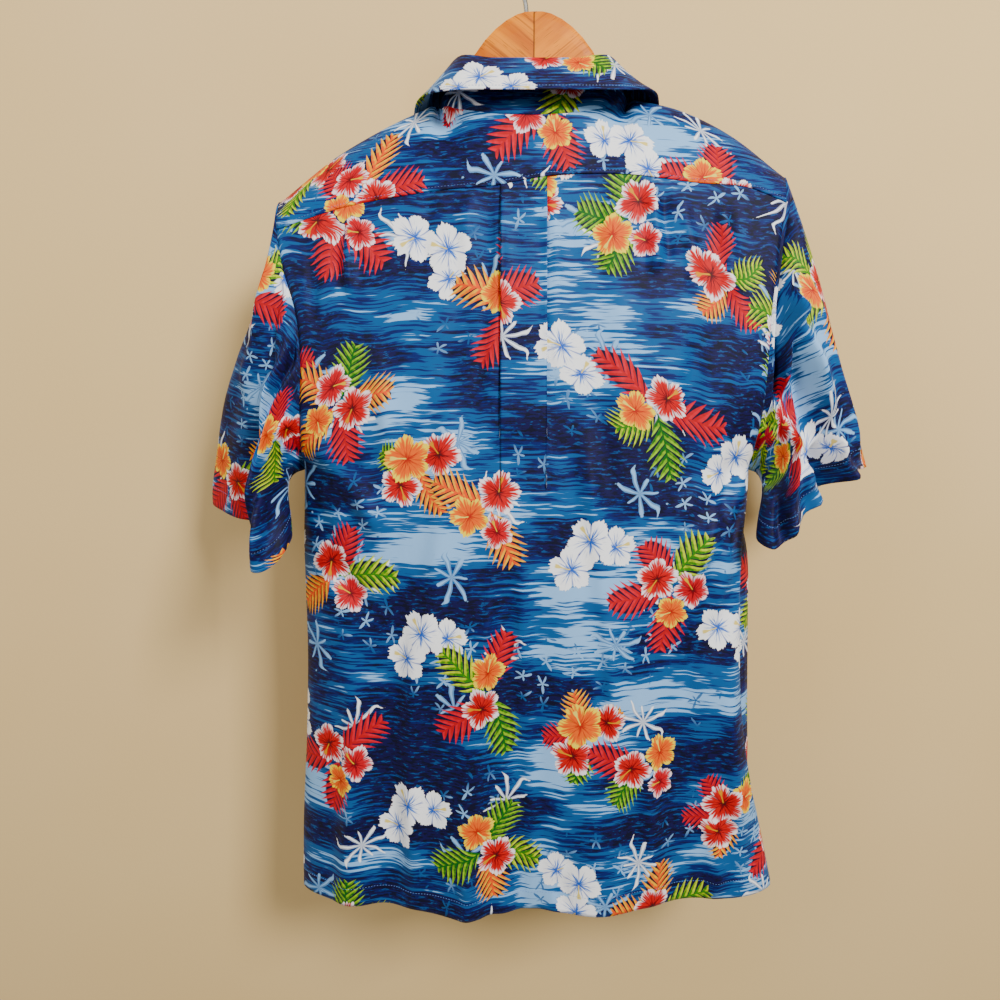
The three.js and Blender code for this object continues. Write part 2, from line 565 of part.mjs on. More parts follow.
// Loop round an armhole: over the shoulder and down the back to the armpit, then up the front.
function armhole(side) {
  const seamZ = yokePoint(side, 0).z;
  const edge = { side, share: 1 };
  const back = [
    ...steps(5, RIDGE_AT, 0).map((over) => yokePoint(side, over)),
    ...steps(18).slice(1).map((t) => backPoint(edge, mix(seamZ, ARMPIT_Z, t))),
  ];
  const top = frontTop(side, 1).z;
  const front = [
    ...steps(18).map((t) => frontPoint(side, 1, (top - mix(ARMPIT_Z, top, t)) / (top - HEM_Z))),
    ...steps(4, 1, RIDGE_AT).slice(1).map((over) => yokePoint(side, over)),
  ];
  return { back: new THREE.CatmullRomCurve3(back), front: new THREE.CatmullRomCurve3(front) };
}

// A smooth function round a closed loop of rows, by share.
function around(rows, name) {
  const before = rows.slice(-2).map((row) => ({ ...row, share: row.share - 1 }));
  const after = rows.slice(0, 2).map((row) => ({ ...row, share: row.share + 1 }));
  return column([...before, ...rows, ...after], "share", name);
}

// Parts of a sleeve's loop. Two halves of one leave the gap of a seam between them.
const WHOLE = { shares: steps(40).slice(0, -1), looped: true };
const HALF_GAP = 0.005; // as a share of the loop
const BACK_HALF = { shares: steps(20, HALF_GAP, 0.5 - HALF_GAP), looped: false };
const FRONT_HALF = { shares: steps(20, 0.5 + HALF_GAP, 1 - HALF_GAP), looped: false };

function makeSleeve(side, name, cuffRows, folds, { shares, looped } = WHOLE) {
  const loop = armhole(side);
  const cuff = ["x", "y", "z"].map((axis) => around(cuffRows, axis));
  const leaves = [side === LEFT ? "left" : "right", "y", "z"].map((name) => around(SLEEVE_LEAVES, name));
  const lines = shares.map((share) => {
    const start = share < 0.5 ? loop.back.getPointAt(2 * share) : loop.front.getPointAt(2 * share - 1);
    start.x += side * SETBACK;
    const end = new THREE.Vector3(...cuff.map((at) => at(share)));
    const reach = start.distanceTo(end);
    const [lx, ly, lz] = leaves.map((at) => at(share));
    const leave = new THREE.Vector3(side * lx, ly, lz).normalize().multiplyScalar(reach);
    const flare = mix(0.05, side === LEFT ? 0.08 : 0.34, 0.5 + 0.5 * Math.cos(2 * Math.PI * share));
    const arrive = new THREE.Vector3(side * flare, 0, -1).multiplyScalar(reach);
    const middle = new THREE.Vector3(side * 240, 0, end.z);
    const outward = end.clone().sub(middle).setZ(0).normalize();
    return steps(9).map((down) => {
      const moved = folds.reduce((sum, fold) => {
        const across = Math.exp(-(((share - fold.share) / fold.wide) ** 2));
        const along = Math.exp(-(((down - fold.down) / fold.long) ** 2));
        return sum + fold.depth * across * along * smooth(5 * down);
      }, 0);
      return hermitePoint(start, leave, end, arrive, down).addScaledVector(outward, moved);
    });
  });
  const rings = lines[0].map((_, i) => lines.map((line) => line[i]));
  add(name, wall(rings, looped), LOOKS.sleeve);
}

const FOLD_WIDTH = 7; // of the collar's rounded fold

// Columns of half a collar, from the middle of the back round to its front end: where each is along the
// collar, and the point of the neck's edge that it is sewn to.
const COLLAR_END = 0.115; // share of the front at which it stops
const collarColumns = (side) => [
  ...BACK_NECK_SHARES.map((at) => ({ share: (0.46 * at) / NECK_POINT, seam: yokeEdge(side, at) })),
  ...[NECK_POINT, ...FRONT_NECK_SHARES.toReversed(), COLLAR_END].map((at) => ({
    share: mix(1, 0.46, (at - COLLAR_END) / (NECK_POINT - COLLAR_END)),
    seam: frontTop(side, at),
  })),
];

function makeCollar() {
  const line = (side, { share, seam }) => {
    const lift = side === RIGHT ? collar.rise(share) : 0;
    const foldZ = collar.foldZ(share) + 0.4 * lift;
    const fold = new THREE.Vector3(side * collar.foldX(share), collar.foldY(share), foldZ);
    const wide = collar.edgeX(share) + (side === RIGHT ? collar.out(share) : 0);
    const edge = new THREE.Vector3(side * wide, collar.edgeY(share), collar.edgeZ(share) + lift);
    const stand = fold.clone().sub(seam);
    seam.addScaledVector(stand.normalize(), SETBACK + 0.4);
    const out = edge.clone().sub(fold).setZ(0).setLength(FOLD_WIDTH);
    const insideFold = fold.clone().addScaledVector(out, -0.2).setZ(fold.z - 4);
    const outsideFold = fold.clone().add(out).setZ(fold.z - 4);
    const crown = fold.clone().addScaledVector(out, 0.35);
    const rising = steps(3).map((t) => seam.clone().lerp(insideFold, t));
    const falling = steps(4).map((t) => outsideFold.clone().lerp(edge, t));
    return [...rising, crown, ...falling];
  };
  const grid = [
    ...collarColumns(LEFT).map((col) => line(LEFT, col)).reverse(),
    ...collarColumns(RIGHT).slice(1).map((col) => line(RIGHT, col)),
  ];
  add("collar", wall(grid), LOOKS.collar);
}

function makeButtons() {
  const profile = [
    { radius: BUTTON.radius - 0.5, out: 0 },
    { radius: BUTTON.radius, out: 0.5 },
    { radius: BUTTON.radius, out: BUTTON.thickness - 0.4 },
    { radius: BUTTON.radius - 0.4, out: BUTTON.thickness },
    { radius: BUTTON.radius - BUTTON.rim - 0.4, out: BUTTON.thickness },
    { radius: BUTTON.radius - BUTTON.rim - 0.8, out: BUTTON.thickness - 0.5 },
  ];
  for (let i = 0; i < BUTTON.count; i++) {
    const z = BUTTON.top - i * BUTTON.pitch;
    const share = OVERLAP / (OVERLAP + body.left(z));
    const top = frontTop(LEFT, share).z;
    const cloth = frontPoint(LEFT, share, (top - z) / (top - HEM_Z));
    const face = cloth.y - CLOTH / 2 - 0.65;
    const rings = profile.map(({ radius, out }) =>
      steps(20).slice(0, -1).map((t) => {
        const turn = 2 * Math.PI * t;
        return new THREE.Vector3(radius * Math.cos(turn), face - out, z + radius * Math.sin(turn));
      }),
    );
    add(`button_${i + 1}`, capped(rings), LOOKS.button);
  }
}

function makeHanger() {
  const half = (side) => {
    const xs = [0.15, 8, 16, 26, 36, 46, 56, 66, 76, 88, 100, 118, 140, 165, 190, 206, 215, 221];
    const rings = xs.map((x) => {
      const lean = -HANGER_TILT * side * x;
      const middle = (arm.top(x) + arm.bottom(x)) / 2 + lean;
      const height = (arm.top(x) - arm.bottom(x)) / 2;
      return steps(16).slice(0, -1).map((t) => {
        const c = Math.cos(2 * Math.PI * t);
        const s = Math.sin(2 * Math.PI * t);
        const y = arm.y(x) + side * arm.half(x) * Math.sign(c) * Math.abs(c) ** 0.45;
        return new THREE.Vector3(side * x, y, middle + height * Math.sign(s) * Math.abs(s) ** 0.6);
      });
    });
    return facingOut(capped(rings));
  };
  const bore = wasm.Manifold.cylinder(60, BORE.radius, BORE.radius, 20).translate([BORE.x, 0, BORE.foot]);
  add("hanger_left", fromManifold(toManifold(half(LEFT)).subtract(bore)), LOOKS.wood);
  add("hanger_right", half(RIGHT), LOOKS.wood);
  const line = new THREE.CatmullRomCurve3(HOOK.map(({ x, z }) => new THREE.Vector3(x, 0, z)));
  const ring = (t, radius) => {
    const at = line.getPointAt(t);
    const along = line.getTangentAt(t);
    const across = new THREE.Vector3(-along.z, 0, along.x);
    return steps(10).slice(0, -1).map((s) => {
      const turn = 2 * Math.PI * s;
      const rim = across.clone().multiplyScalar(radius * Math.cos(turn));
      return at.clone().add(rim).add(new THREE.Vector3(0, radius * Math.sin(turn), 0));
    });
  };
  const rings = steps(40, 0, 0.985).map((t) => ring(t, HOOK_WIRE));
  add("hanger_hook", capped([...rings, ring(1, 0.5 * HOOK_WIRE)]), LOOKS.wire);
}

makeBack();
makeYoke();
makeFront(LEFT, "front_left");
makeFront(RIGHT, "front_right");
makeSleeve(LEFT, "sleeve_left_back", LEFT_CUFF, LEFT_SLEEVE_FOLDS, BACK_HALF);
makeSleeve(LEFT, "sleeve_left_front", LEFT_CUFF, LEFT_SLEEVE_FOLDS, FRONT_HALF);
makeSleeve(RIGHT, "sleeve_right", RIGHT_CUFF, RIGHT_SLEEVE_FOLDS);
makeCollar();
makeButtons();
makeHanger();

export default shirt;
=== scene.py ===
"""Looks of a printed short-sleeved shirt on a wooden hanger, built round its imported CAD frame.

Tables and cloth forms are in millimetres, as in the CAD; meshes are made in metres.
"""

import math

import bpy
import numpy as np
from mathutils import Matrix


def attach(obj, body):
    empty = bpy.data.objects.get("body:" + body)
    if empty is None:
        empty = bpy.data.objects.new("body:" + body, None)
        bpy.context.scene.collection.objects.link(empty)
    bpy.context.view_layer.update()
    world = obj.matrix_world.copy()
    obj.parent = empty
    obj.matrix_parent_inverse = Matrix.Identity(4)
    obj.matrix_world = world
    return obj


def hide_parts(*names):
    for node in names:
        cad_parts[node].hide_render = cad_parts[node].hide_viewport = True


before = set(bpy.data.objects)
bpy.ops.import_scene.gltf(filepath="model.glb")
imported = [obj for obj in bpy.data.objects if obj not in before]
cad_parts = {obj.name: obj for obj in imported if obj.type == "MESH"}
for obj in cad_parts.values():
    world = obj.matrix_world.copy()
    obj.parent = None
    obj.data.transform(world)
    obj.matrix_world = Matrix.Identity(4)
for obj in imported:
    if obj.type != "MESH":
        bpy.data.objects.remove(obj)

bl_info = {
    "name": "Printed shirt looks",
    "version": (1, 0, 0),
    "blender": (4, 5, 0),
    "location": "View3D > Sidebar > Shirt",
    "description": "Cloth, print, stitching, wood and wire of a shirt on a hanger",
    "category": "Object",
}

MM = 0.001
LEFT = 1
RIGHT = -1


# Sizes of the CAD frame


def rows(names, *values):
    """A table as one array for each named column."""
    return dict(zip(names.split(), np.array(values, float).T))


HEM_Z = -955
ARMPIT_Z = -500
# How far the sleeves and the collar start from their seams, and the share of the body's wrap that takes the
# right side seam to the back
SETBACK = 1.55
SEAM_BACK = 1.5
# How far each front passes the middle, and how far the right one lies under the left one
OVERLAP = 13
UNDER_FRONT = 2.4
# The box pleat: its middle, half its width, and the heights where it starts to open and lies open
PLEAT_CENTRE, PLEAT_HALF = 10, 20
PLEAT_OPENS, PLEAT_OPEN = -330, -560
# Shares: the yoke's ridge on its way to the front, the neck's corner at the shoulder, the collar's end
RIDGE_AT = 0.66
NECK_POINT = 0.44
COLLAR_END = 0.115
FOLD_WIDTH = 7
# Half the yoke's width at its back seam, on the left and on the right, and that seam's gap and middle height
YOKE_LEFT, YOKE_RIGHT = 244, 238.5
SEAM_GAP = 0.35
SEAM_HEIGHT = -240.0
BUTTON = {"thickness": 2.4, "count": 6, "top": -282, "pitch": 98}
# The holes of a button, from its middle, and half the width and height of a buttonhole
HOLE_AT = 1.3
BUTTONHOLE = (1.3, 8.5)

# Where the cloth goes further than the frame: how strongly the finer creases show and how near an edge they
# fade out, and the shares of the wrap that set the right side seam in and swell the right front past it.
CREASED = 2.6
EDGE_CALM = 12
SEAM_IN = 0.7
BULGE = 2.35

# The body by height: half its width on each side, how round its section is, and how far the right front wraps
# round to the back
BODY = rows(
    "z left right round wrap",
    (-225, 245, 243, 1.1, 0),
    (-265, 244, 236, 1.1, 0),
    (-305, 238, 231, 1.15, 0),
    (-345, 227, 227, 1.2, 0),
    (-390, 224, 226, 1.3, 0),
    (-440, 228, 225, 1.5, 0),
    (-480, 232, 223, 1.8, 0),
    (-500, 233, 223, 2, 0),
    (-530, 234, 223, 2.1, 2),
    (-580, 236, 222, 2.2, 11),
    (-660, 236, 224, 2.2, 13),
    (-750, 239, 230, 2.2, 12),
    (-850, 246, 246, 2.2, 6),
    (-875, 248, 251, 2.1, 2),
    (-905, 249, 257, 2.1, 0),
    (-955, 250, 268, 2, 0),
)
# How far to the back or the front the two panels stand, at their edges and in their middles
DEPTH = rows(
    "z back_edge front_edge back_mid front_mid",
    (-225, 24, -34, 38, -46),
    (-265, 27, -37, 42, -51),
    (-305, 31, -39, 46, -56),
    (-345, 34, -40, 50, -60),
    (-390, 34, -38, 53, -63),
    (-440, 29, -33, 55, -65),
    (-480, 14, -18, 56, -66),
    (-500, -1.4, -2.6, 57, -66),
    (-530, -1.4, -2.6, 58, -67),
    (-580, -1.4, -2.6, 58, -67),
    (-660, -1.4, -2.6, 58, -68),
    (-750, -1.4, -2.6, 58, -69),
    (-850, -1.4, -2.6, 58, -70),
    (-875, -1.2, -2.8, 58, -70),
    (-905, 1, -5, 58, -70),
    (-955, 4, -9, 58, -70),
)
# The yoke's back seam, a little higher than in the frame
YOKE_SEAM = rows(
    "x z",
    (-243, -244),
    (-200, -230),
    (-152, -227),
    (-77, -220),
    (-14, -222),
    (33, -230),
    (89, -235),
    (126, -240),
    (178, -249),
    (245, -268),
)
# The yoke's neck and front edges by share of half its width, their heights on the left and the right, how far
# it lies over the shoulder's ridge, and the ridge's heights
YOKE_TOP = rows(
    "share x y left right over ridge_left ridge_right",
    (0.0, 0, 30, -163, -163, 0, -163, -163),
    (0.18, 42, 28, -161, -160, 0, -163, -163),
    (0.3, 71, 18, -155, -153, 0.1, -160, -158),
    (0.38, 86, 3, -147, -143, 0.4, -149, -146),
    (0.44, 93, -16, -149, -143, 1, -146, -141),
    (0.62, 141, -28, -181, -167, 1, -167, -151),
    (0.8, 193, -33, -212, -191, 1, -195, -174),
    (1.0, 247, -36, -257, -238, 1, -236, -213),
)
FRONT_NECK = rows(
    "share x y z",
    (0.0, -13, -47.5, -236),
    (0.07, 5, -47.5, -236),
    (0.15, 26, -46, -230),
    (0.23, 48, -42, -217),
    (0.31, 69, -35, -197),
    (0.38, 84, -27, -174),
    (0.44, 93, -16, -149),
)
# Hems of the sleeves by share round them, the left one narrower near its lobe than in the frame
LEFT_CUFF = rows(
    "share x y z",
    (0.0, 347, -56, -538),
    (0.07, 335, -34, -546),
    (0.14, 310, -12, -552),
    (0.2, 284, 8, -555),
    (0.25, 266, 34, -566),
    (0.31, 267, 66, -582),
    (0.37, 256, 86, -587),
    (0.43, 238, 82, -576),
    (0.48, 230, 64, -558),
    (0.54, 242, 38, -546),
    (0.62, 256, 8, -541),
    (0.72, 278, -20, -537),
    (0.84, 310, -48, -536),
    (0.94, 338, -66, -536),
)
RIGHT_CUFF = rows(
    "share x y z",
    (0.0, -354, -20, -499),
    (0.07, -340, 8, -497),
    (0.14, -320, 32, -496),
    (0.2, -302, 38, -504),
    (0.26, -286, 26, -520),
    (0.32, -264, 46, -540),
    (0.38, -244, 64, -558),
    (0.43, -228, 68, -569),
    (0.48, -216, 54, -562),
    (0.54, -228, 30, -549),
    (0.62, -244, 4, -542),
    (0.72, -270, -18, -535),
    (0.84, -306, -38, -526),
    (0.94, -340, -42, -508),
)
# Directions in which the sleeves leave their armholes: sideways on the left and the right, y and z
SLEEVE_LEAVES = rows(
    "share left right y z",
    (0.0, 0.12, 0.42, -0.02, -0.98),
    (0.12, 0.25, 0.45, 0.15, -0.95),
    (0.25, 0.45, 0.5, 0.3, -0.8),
    (0.4, 0.85, 0.85, 0.3, -0.5),
    (0.5, 1.0, 1.0, 0.1, -0.2),
    (0.6, 0.9, 0.9, -0.2, -0.5),
    (0.75, 0.5, 0.5, -0.35, -0.8),
    (0.88, 0.2, 0.42, -0.2, -0.95),
)
# Fold and edge of half the collar by share along it; rise and out are what its right half adds
COLLAR = rows(
    "share fold_x fold_y fold_z edge_x edge_y edge_z rise out",
    (0.0, 0, 13, -112, 0, 51, -153, 0, 0),
    (0.14, 36, 13, -112, 44, 51, -153, 0, 0),
    (0.26, 66, 9, -108, 82, 45, -152, 1, 2),
    (0.36, 82, -4, -118, 106, 20, -148, 6, 5),
    (0.46, 88, -22, -132, 116, -10, -152, 9, 7),
    (0.56, 84, -36, -152, 118, -38, -171, 9, 8),
    (0.7, 68, -46, -182, 112, -58, -209, 4, 5),
    (0.85, 44, -53, -209, 90, -69, -251, 0, 0),
    (1.0, 17, -56, -224, 58, -74, -293, 0, 0),
)

# Folds that the frame has too: upper and lower end, width, how far they stand out and how early they grow.
BACK_FOLDS = rows(
    "top_x top_z low_x low_z width depth grow",
    (52, -480, 66, -955, 30, 13, 0.8),
    (8, -520, 0, -955, 20, -9, 0.8),
    (-30, -500, -72, -955, 32, 8, 0.8),
    (120, -520, 152, -955, 24, -8, 0.7),
    (-120, -560, -165, -955, 42, -13, 0.7),
    (-208, -430, -150, -760, 9, -6, 0),
    (200, -430, 186, -955, 20, 5, 0.5),
    (32, -500, 42, -955, 9, -4, 0.2),
)
FRONT_FOLDS = rows(
    "top_x top_z low_x low_z width depth grow",
    (60, -440, 82, -955, 30, -12, 0.8),
    (118, -420, 140, -955, 24, 10, 0.7),
    (190, -470, 194, -955, 22, -7, 0.6),
    (-70, -460, -92, -955, 34, -10, 0.8),
    (-135, -430, -152, -955, 22, 9, 0.6),
    (-196, -480, -204, -955, 22, -6, 0.6),
)
LEFT_SLEEVE_FOLDS = rows(
    "share down wide long depth",
    (0.2, 0.55, 0.05, 0.4, -10),
    (0.31, 0.55, 0.06, 0.4, 13),
    (0.42, 0.5, 0.03, 0.22, -6),
)
RIGHT_SLEEVE_FOLDS = rows(
    "share down wide long depth",
    (0.31, 0.3, 0.045, 0.34, -13),
    (0.19, 0.45, 0.06, 0.5, 7),
    (0.42, 0.55, 0.04, 0.25, 5),
)

# Finer creases: both ends in the plane of the panel, half width and how far each stands
# out. lean above 0 makes a sharp step on one side of it.
BACK_CREASES = rows(
    "x0 z0 x1 z1 width depth lean",
    (172, -262, 176, -330, 5, 2.2, 0.6),
    (184, -268, 186, -318, 4, -1.8, 0.2),
    (160, -258, 158, -300, 4, 1.2, 0),
    (-108, -238, -112, -310, 5, 2.0, 0.5),
    (-122, -240, -124, -300, 4, -1.6, 0.2),
    (-140, -242, -150, -330, 6, 1.4, 0),
    (60, -240, 66, -330, 7, 1.3, 0.2),
    (96, -246, 104, -300, 6, -1.2, 0),
    (-60, -236, -58, -320, 7, -1.2, 0.2),
    (-178, -246, -184, -330, 7, 1.8, 0.2),
    (214, -280, 206, -360, 6, -1.6, 0.1),
    (30, -246, 44, -420, 6, 1.6, 0.7),
    (-12, -246, -20, -400, 7, 1.5, 0.7),
    (212, -470, 150, -560, 12, 3.0, 0.4),
    (222, -520, 168, -640, 13, -2.6, 0.2),
    (-212, -500, -150, -610, 12, 2.8, 0.4),
    (-214, -545, -176, -690, 11, -2.2, 0.3),
    (88, -420, 100, -700, 12, 2.2, 0.3),
    (116, -640, 130, -940, 11, 2.6, 0.4),
    (-52, -470, -84, -800, 10, 2.2, 0.4),
    (-96, -620, -128, -955, 12, 2.4, 0.3),
    (10, -560, 4, -955, 8, 2.0, 0.6),
    (38, -520, 52, -760, 7, 1.6, 0.5),
    (182, -700, 196, -955, 10, 2.4, 0.3),
    (-204, -720, -222, -930, 10, 2.0, 0.3),
    (70, -330, 92, -470, 12, -1.6, 0.1),
    (-74, -330, -90, -520, 12, 1.6, 0.2),
    (150, -380, 138, -520, 10, 1.8, 0.2),
    (-160, -360, -140, -520, 11, -1.7, 0.2),
    (60, -900, 72, -955, 8, 1.8, 0.2),
    (-30, -890, -36, -955, 9, -1.8, 0.2),
    (-190, -860, -196, -955, 9, 1.6, 0.2),
)
FRONT_CREASES = rows(
    "x0 z0 x1 z1 width depth lean",
    (210, -460, 150, -560, 12, -2.8, 0.4),
    (200, -540, 160, -690, 12, 2.2, 0.2),
    (-206, -470, -150, -580, 12, -2.6, 0.4),
    (-198, -560, -164, -720, 11, 2.0, 0.2),
    (150, -280, 120, -400, 12, -1.8, 0.2),
    (-150, -270, -122, -400, 12, -1.8, 0.2),
    (96, -520, 112, -900, 11, -2.2, 0.3),
    (-100, -540, -116, -910, 11, -2.2, 0.3),
    (40, -620, 44, -940, 10, 1.8, 0.3),
    (-46, -600, -50, -930, 10, 1.8, 0.3),
)
SLEEVE_ROUND = 470
SLEEVE_REACH = 280
# On a sleeve, x runs round it from its top by way of the back, and z down it from the armhole.
LEFT_CREASES = rows(
    "x0 z0 x1 z1 width depth lean",
    (132, -6, 150, -130, 9, -3.4, 0.4),
    (196, -2, 172, -74, 7, 3.4, 0.5),
    (216, -4, 192, -110, 8, -3.6, 0.3),
    (206, -14, 204, -60, 5, 2.4, 0.4),
    (226, -16, 160, -270, 12, 4.4, 0.5),
    (206, -76, 140, -280, 12, -4.2, 0.3),
    (182, -120, 124, -280, 10, 3.4, 0.4),
    (118, -50, 118, -290, 9, 4.4, 0.7),
    (92, -90, 98, -290, 9, -5.2, 0.4),
    (58, -14, 50, -140, 10, 2.4, 0.3),
    (30, -90, 18, -290, 12, 2.8, 0.3),
    (74, -10, 84, -90, 8, -2, 0.3),
    (300, -40, 320, -250, 14, 2.8, 0.3),
    (350, -120, 346, -280, 12, -2.4, 0.3),
    (384, -30, 388, -240, 14, -2.8, 0.3),
    (430, -60, 440, -260, 12, 2.4, 0.3),
)
RIGHT_CREASES = rows(
    "x0 z0 x1 z1 width depth lean",
    (28, -13, 96, -13, 6, -4.6, 0.3),
    (66, -13, 164, -20, 6, -7.6, 0.3),
    (84, -31, 158, -38, 8, 4.8, 0.9),
    (98, -34, 106, -190, 10, 3.4, 0.6),
    (126, -60, 124, -180, 9, -2.6, 0.3),
    (104, -214, 98, -290, 10, 5, 0.6),
    (124, -206, 124, -290, 8, -6, 0.6),
    (142, -214, 138, -290, 8, 3.4, 0.3),
    (208, -6, 152, -150, 9, 3.6, 0.5),
    (224, -30, 192, -270, 10, -4, 0.4),
    (172, -120, 178, -290, 9, 4, 0.5),
    (196, -4, 184, -70, 6, -2.6, 0.4),
    (62, -50, 66, -270, 11, 2.4, 0.3),
    (40, -120, 30, -290, 12, -2.6, 0.3),
    (310, -40, 322, -250, 14, 2.8, 0.3),
    (356, -110, 350, -280, 12, -2.4, 0.3),
    (392, -30, 390, -240, 14, -2.8, 0.3),
    (436, -60, 444, -260, 12, 2.4, 0.3),
)


# Smooth functions of a table


def mix(a, b, t):
    return a + (b - a) * t


def smooth(t):
    c = np.clip(t, 0, 1)
    return c * c * (3 - 2 * c)


def hermite(a, slope_a, b, slope_b, t):
    t2, t3 = t * t, t * t * t
    return (
        a * (2 * t3 - 3 * t2 + 1)
        + slope_a * (t3 - 2 * t2 + t)
        + b * (3 * t2 - 2 * t3)
        + slope_b * (t3 - t2)
    )


def through(xs, ys):
    """A smooth function through points whose xs only rise or only fall."""
    if xs[0] > xs[-1]:
        xs, ys = xs[::-1], ys[::-1]
    secant = np.diff(ys) / np.diff(xs)
    before, after = np.r_[secant[0], secant], np.r_[secant, secant[-1]]
    slopes = np.where(before * after > 0, (before + after) / 2, 0)

    def at(x):
        x = np.asarray(x, float)
        i = np.clip(np.searchsorted(xs, x, side="right") - 1, 0, len(xs) - 2)
        span = xs[i + 1] - xs[i]
        t = np.clip((x - xs[i]) / span, 0, 1)
        return hermite(ys[i], slopes[i] * span, ys[i + 1], slopes[i + 1] * span, t)

    return at


def columns(table, by):
    return {
        name: through(table[by], ys) for name, ys in table.items() if name != by
    }


def round_loop(table):
    """Smooth functions of share round a closed loop."""
    share = table["share"]
    wide = np.r_[share[-2:] - 1, share, share[:2] + 1]
    return {
        name: through(wide, np.r_[ys[-2:], ys, ys[:2]])
        for name, ys in table.items()
        if name != "share"
    }


def upto(table, keep):
    """The rows of a table that a mask keeps."""
    return {name: ys[keep] for name, ys in table.items()}


body = {**columns(BODY, "z"), **columns(DEPTH, "z")}
yoke_seam_z = through(YOKE_SEAM["x"], YOKE_SEAM["z"])
front_neck = columns(FRONT_NECK, "share")
collar = columns(COLLAR, "share")
yoke_neck = columns(upto(YOKE_TOP, YOKE_TOP["share"] <= NECK_POINT), "share")
yoke_shoulder = columns(upto(YOKE_TOP, YOKE_TOP["share"] >= NECK_POINT), "share")


def yoke_top(name, share):
    return np.where(
        share < NECK_POINT, yoke_neck[name](share), yoke_shoulder[name](share)
    )


def vec(x, y, z):
    return np.stack(np.broadcast_arrays(x, y, z), axis=-1).astype(float)


def unit(v):
    return v / np.maximum(np.linalg.norm(v, axis=-1, keepdims=True), 1e-9)


# Forms of the cloth, as the frame has them


def edge_x(side, z):
    seam_right = body["right"](z) - SEAM_IN * body["wrap"](z)
    return side * np.where(side == LEFT, body["left"](z), seam_right)


def folded_by(folds, x, z):
    """How far the folds of a table move the cloth at x, z."""
    total = 0
    for top_x, top_z, low_x, low_z, width, depth, grow in zip(*folds.values()):
        down = (top_z - z) / (top_z - low_z)
        run = np.clip(down, 0, 1)
        ends = smooth(3 * down)
        if low_z > HEM_Z:
            ends = smooth(4 * down) * smooth(4 * (1 - down))
        rise = ends * run**grow if grow > 0 else ends
        total = total + depth * rise * np.exp(
            -(((x - mix(top_x, low_x, run)) / width) ** 2)
        )
    return total


def creased_by(creases, x, z):
    """How far the finer creases of a table move the cloth at x, z."""
    total = np.zeros(np.broadcast(x, z).shape)
    for x0, z0, x1, z1, width, depth, lean in zip(*creases.values()):
        along = np.array([x1 - x0, z1 - z0])
        length = np.hypot(*along)
        ax, az = along / length
        run = ((x - x0) * ax + (z - z0) * az) / length
        off = ((x - x0) * -az + (z - z0) * ax) / width
        off = off + 0.35 * np.sin(5 * run + x0)
        ends = smooth(3.5 * run + 0.4) * smooth(3.5 * (1 - run) + 0.4)
        ends = ends * (1 + 0.25 * np.sin(9 * run + z0))
        total = total + depth * ends * (np.exp(-(off**2)) - lean * off * np.exp(-(off**2) / 2))
    return CREASED * total


def section_y(edge, middle, turn, share):
    return edge + (middle - edge) * np.maximum(0, 1 - np.abs(share) ** 2.6) ** (1 / turn)


# The pleat on one side, from its middle out: cloth folded at the top, its layer, and cloth open below.
PLEAT = rows(
    "at folded layer open",
    (-1, -20, 2, -20),
    (0, 0, 2, 0),
    (1, 0.7, 1.5, 2.4),
    (2, 0, 1, 4.8),
    (3, -12, 1, 12),
    (4, -12.7, 0.5, 14.4),
    (5, -12, 0, 16.8),
    (6, 4, 0, 28),
)
pleat = columns(PLEAT, "at")
# How far a layer of the pleat stands out, the share of that at the yoke, and the length where it grows
PLEAT_LAYER = 1.8
PRESSED, PRESSED_LENGTH = 0.28, 40


def back_point(side, at, z):
    """The back: at runs from -1 at the middle of the pleat to 6 past it, and to 7 at the panel's edge."""
    opening = smooth((PLEAT_OPENS - z) / (PLEAT_OPENS - PLEAT_OPEN))
    edge = np.abs(edge_x(side, z) - PLEAT_CENTRE)
    in_fold = PLEAT_HALF + mix(pleat["folded"](at), pleat["open"](at), opening)
    pleat_edge = PLEAT_HALF + mix(4, 28, opening)
    away = np.where(at <= 6, in_fold, mix(pleat_edge, edge, np.clip(at - 6, 0, 1)))
    x = PLEAT_CENTRE + side * away
    wrapped = SEAM_BACK * body["wrap"](z) * smooth((away / edge - 0.6) / 0.4)
    seam_back = np.where(side == RIGHT, wrapped, 0)
    pressed = mix(PRESSED, 1, smooth((yoke_seam_z(PLEAT_CENTRE) - z) / PRESSED_LENGTH))
    raised = pleat["layer"](at) * PLEAT_LAYER * pressed * (1 - smooth((opening - 0.45) / 0.35))
    y = section_y(body["back_edge"](z), body["back_mid"](z), body["round"](z), away / edge)
    inside = smooth((edge - away) / EDGE_CALM)
    y = y + raised + seam_back + folded_by(BACK_FOLDS, x, z)
    return vec(x, y + inside * creased_by(BACK_CREASES, x, z), z)


def yoke_edge(side, share):
    z = np.where(side == LEFT, yoke_top("left", share), yoke_top("right", share))
    return vec(side * yoke_top("x", share), yoke_top("y", share), z)


def front_top(side, share):
    lift = np.where(side == RIGHT, 6 * smooth((share - 0.15) / 0.29), 0)
    neck = vec(
        side * front_neck["x"](share),
        front_neck["y"](share),
        front_neck["z"](share) + lift,
    )
    shoulder = yoke_edge(side, share) + np.array([0, -0.4, -0.6])
    return np.where((share < NECK_POINT)[..., None], neck, shoulder)


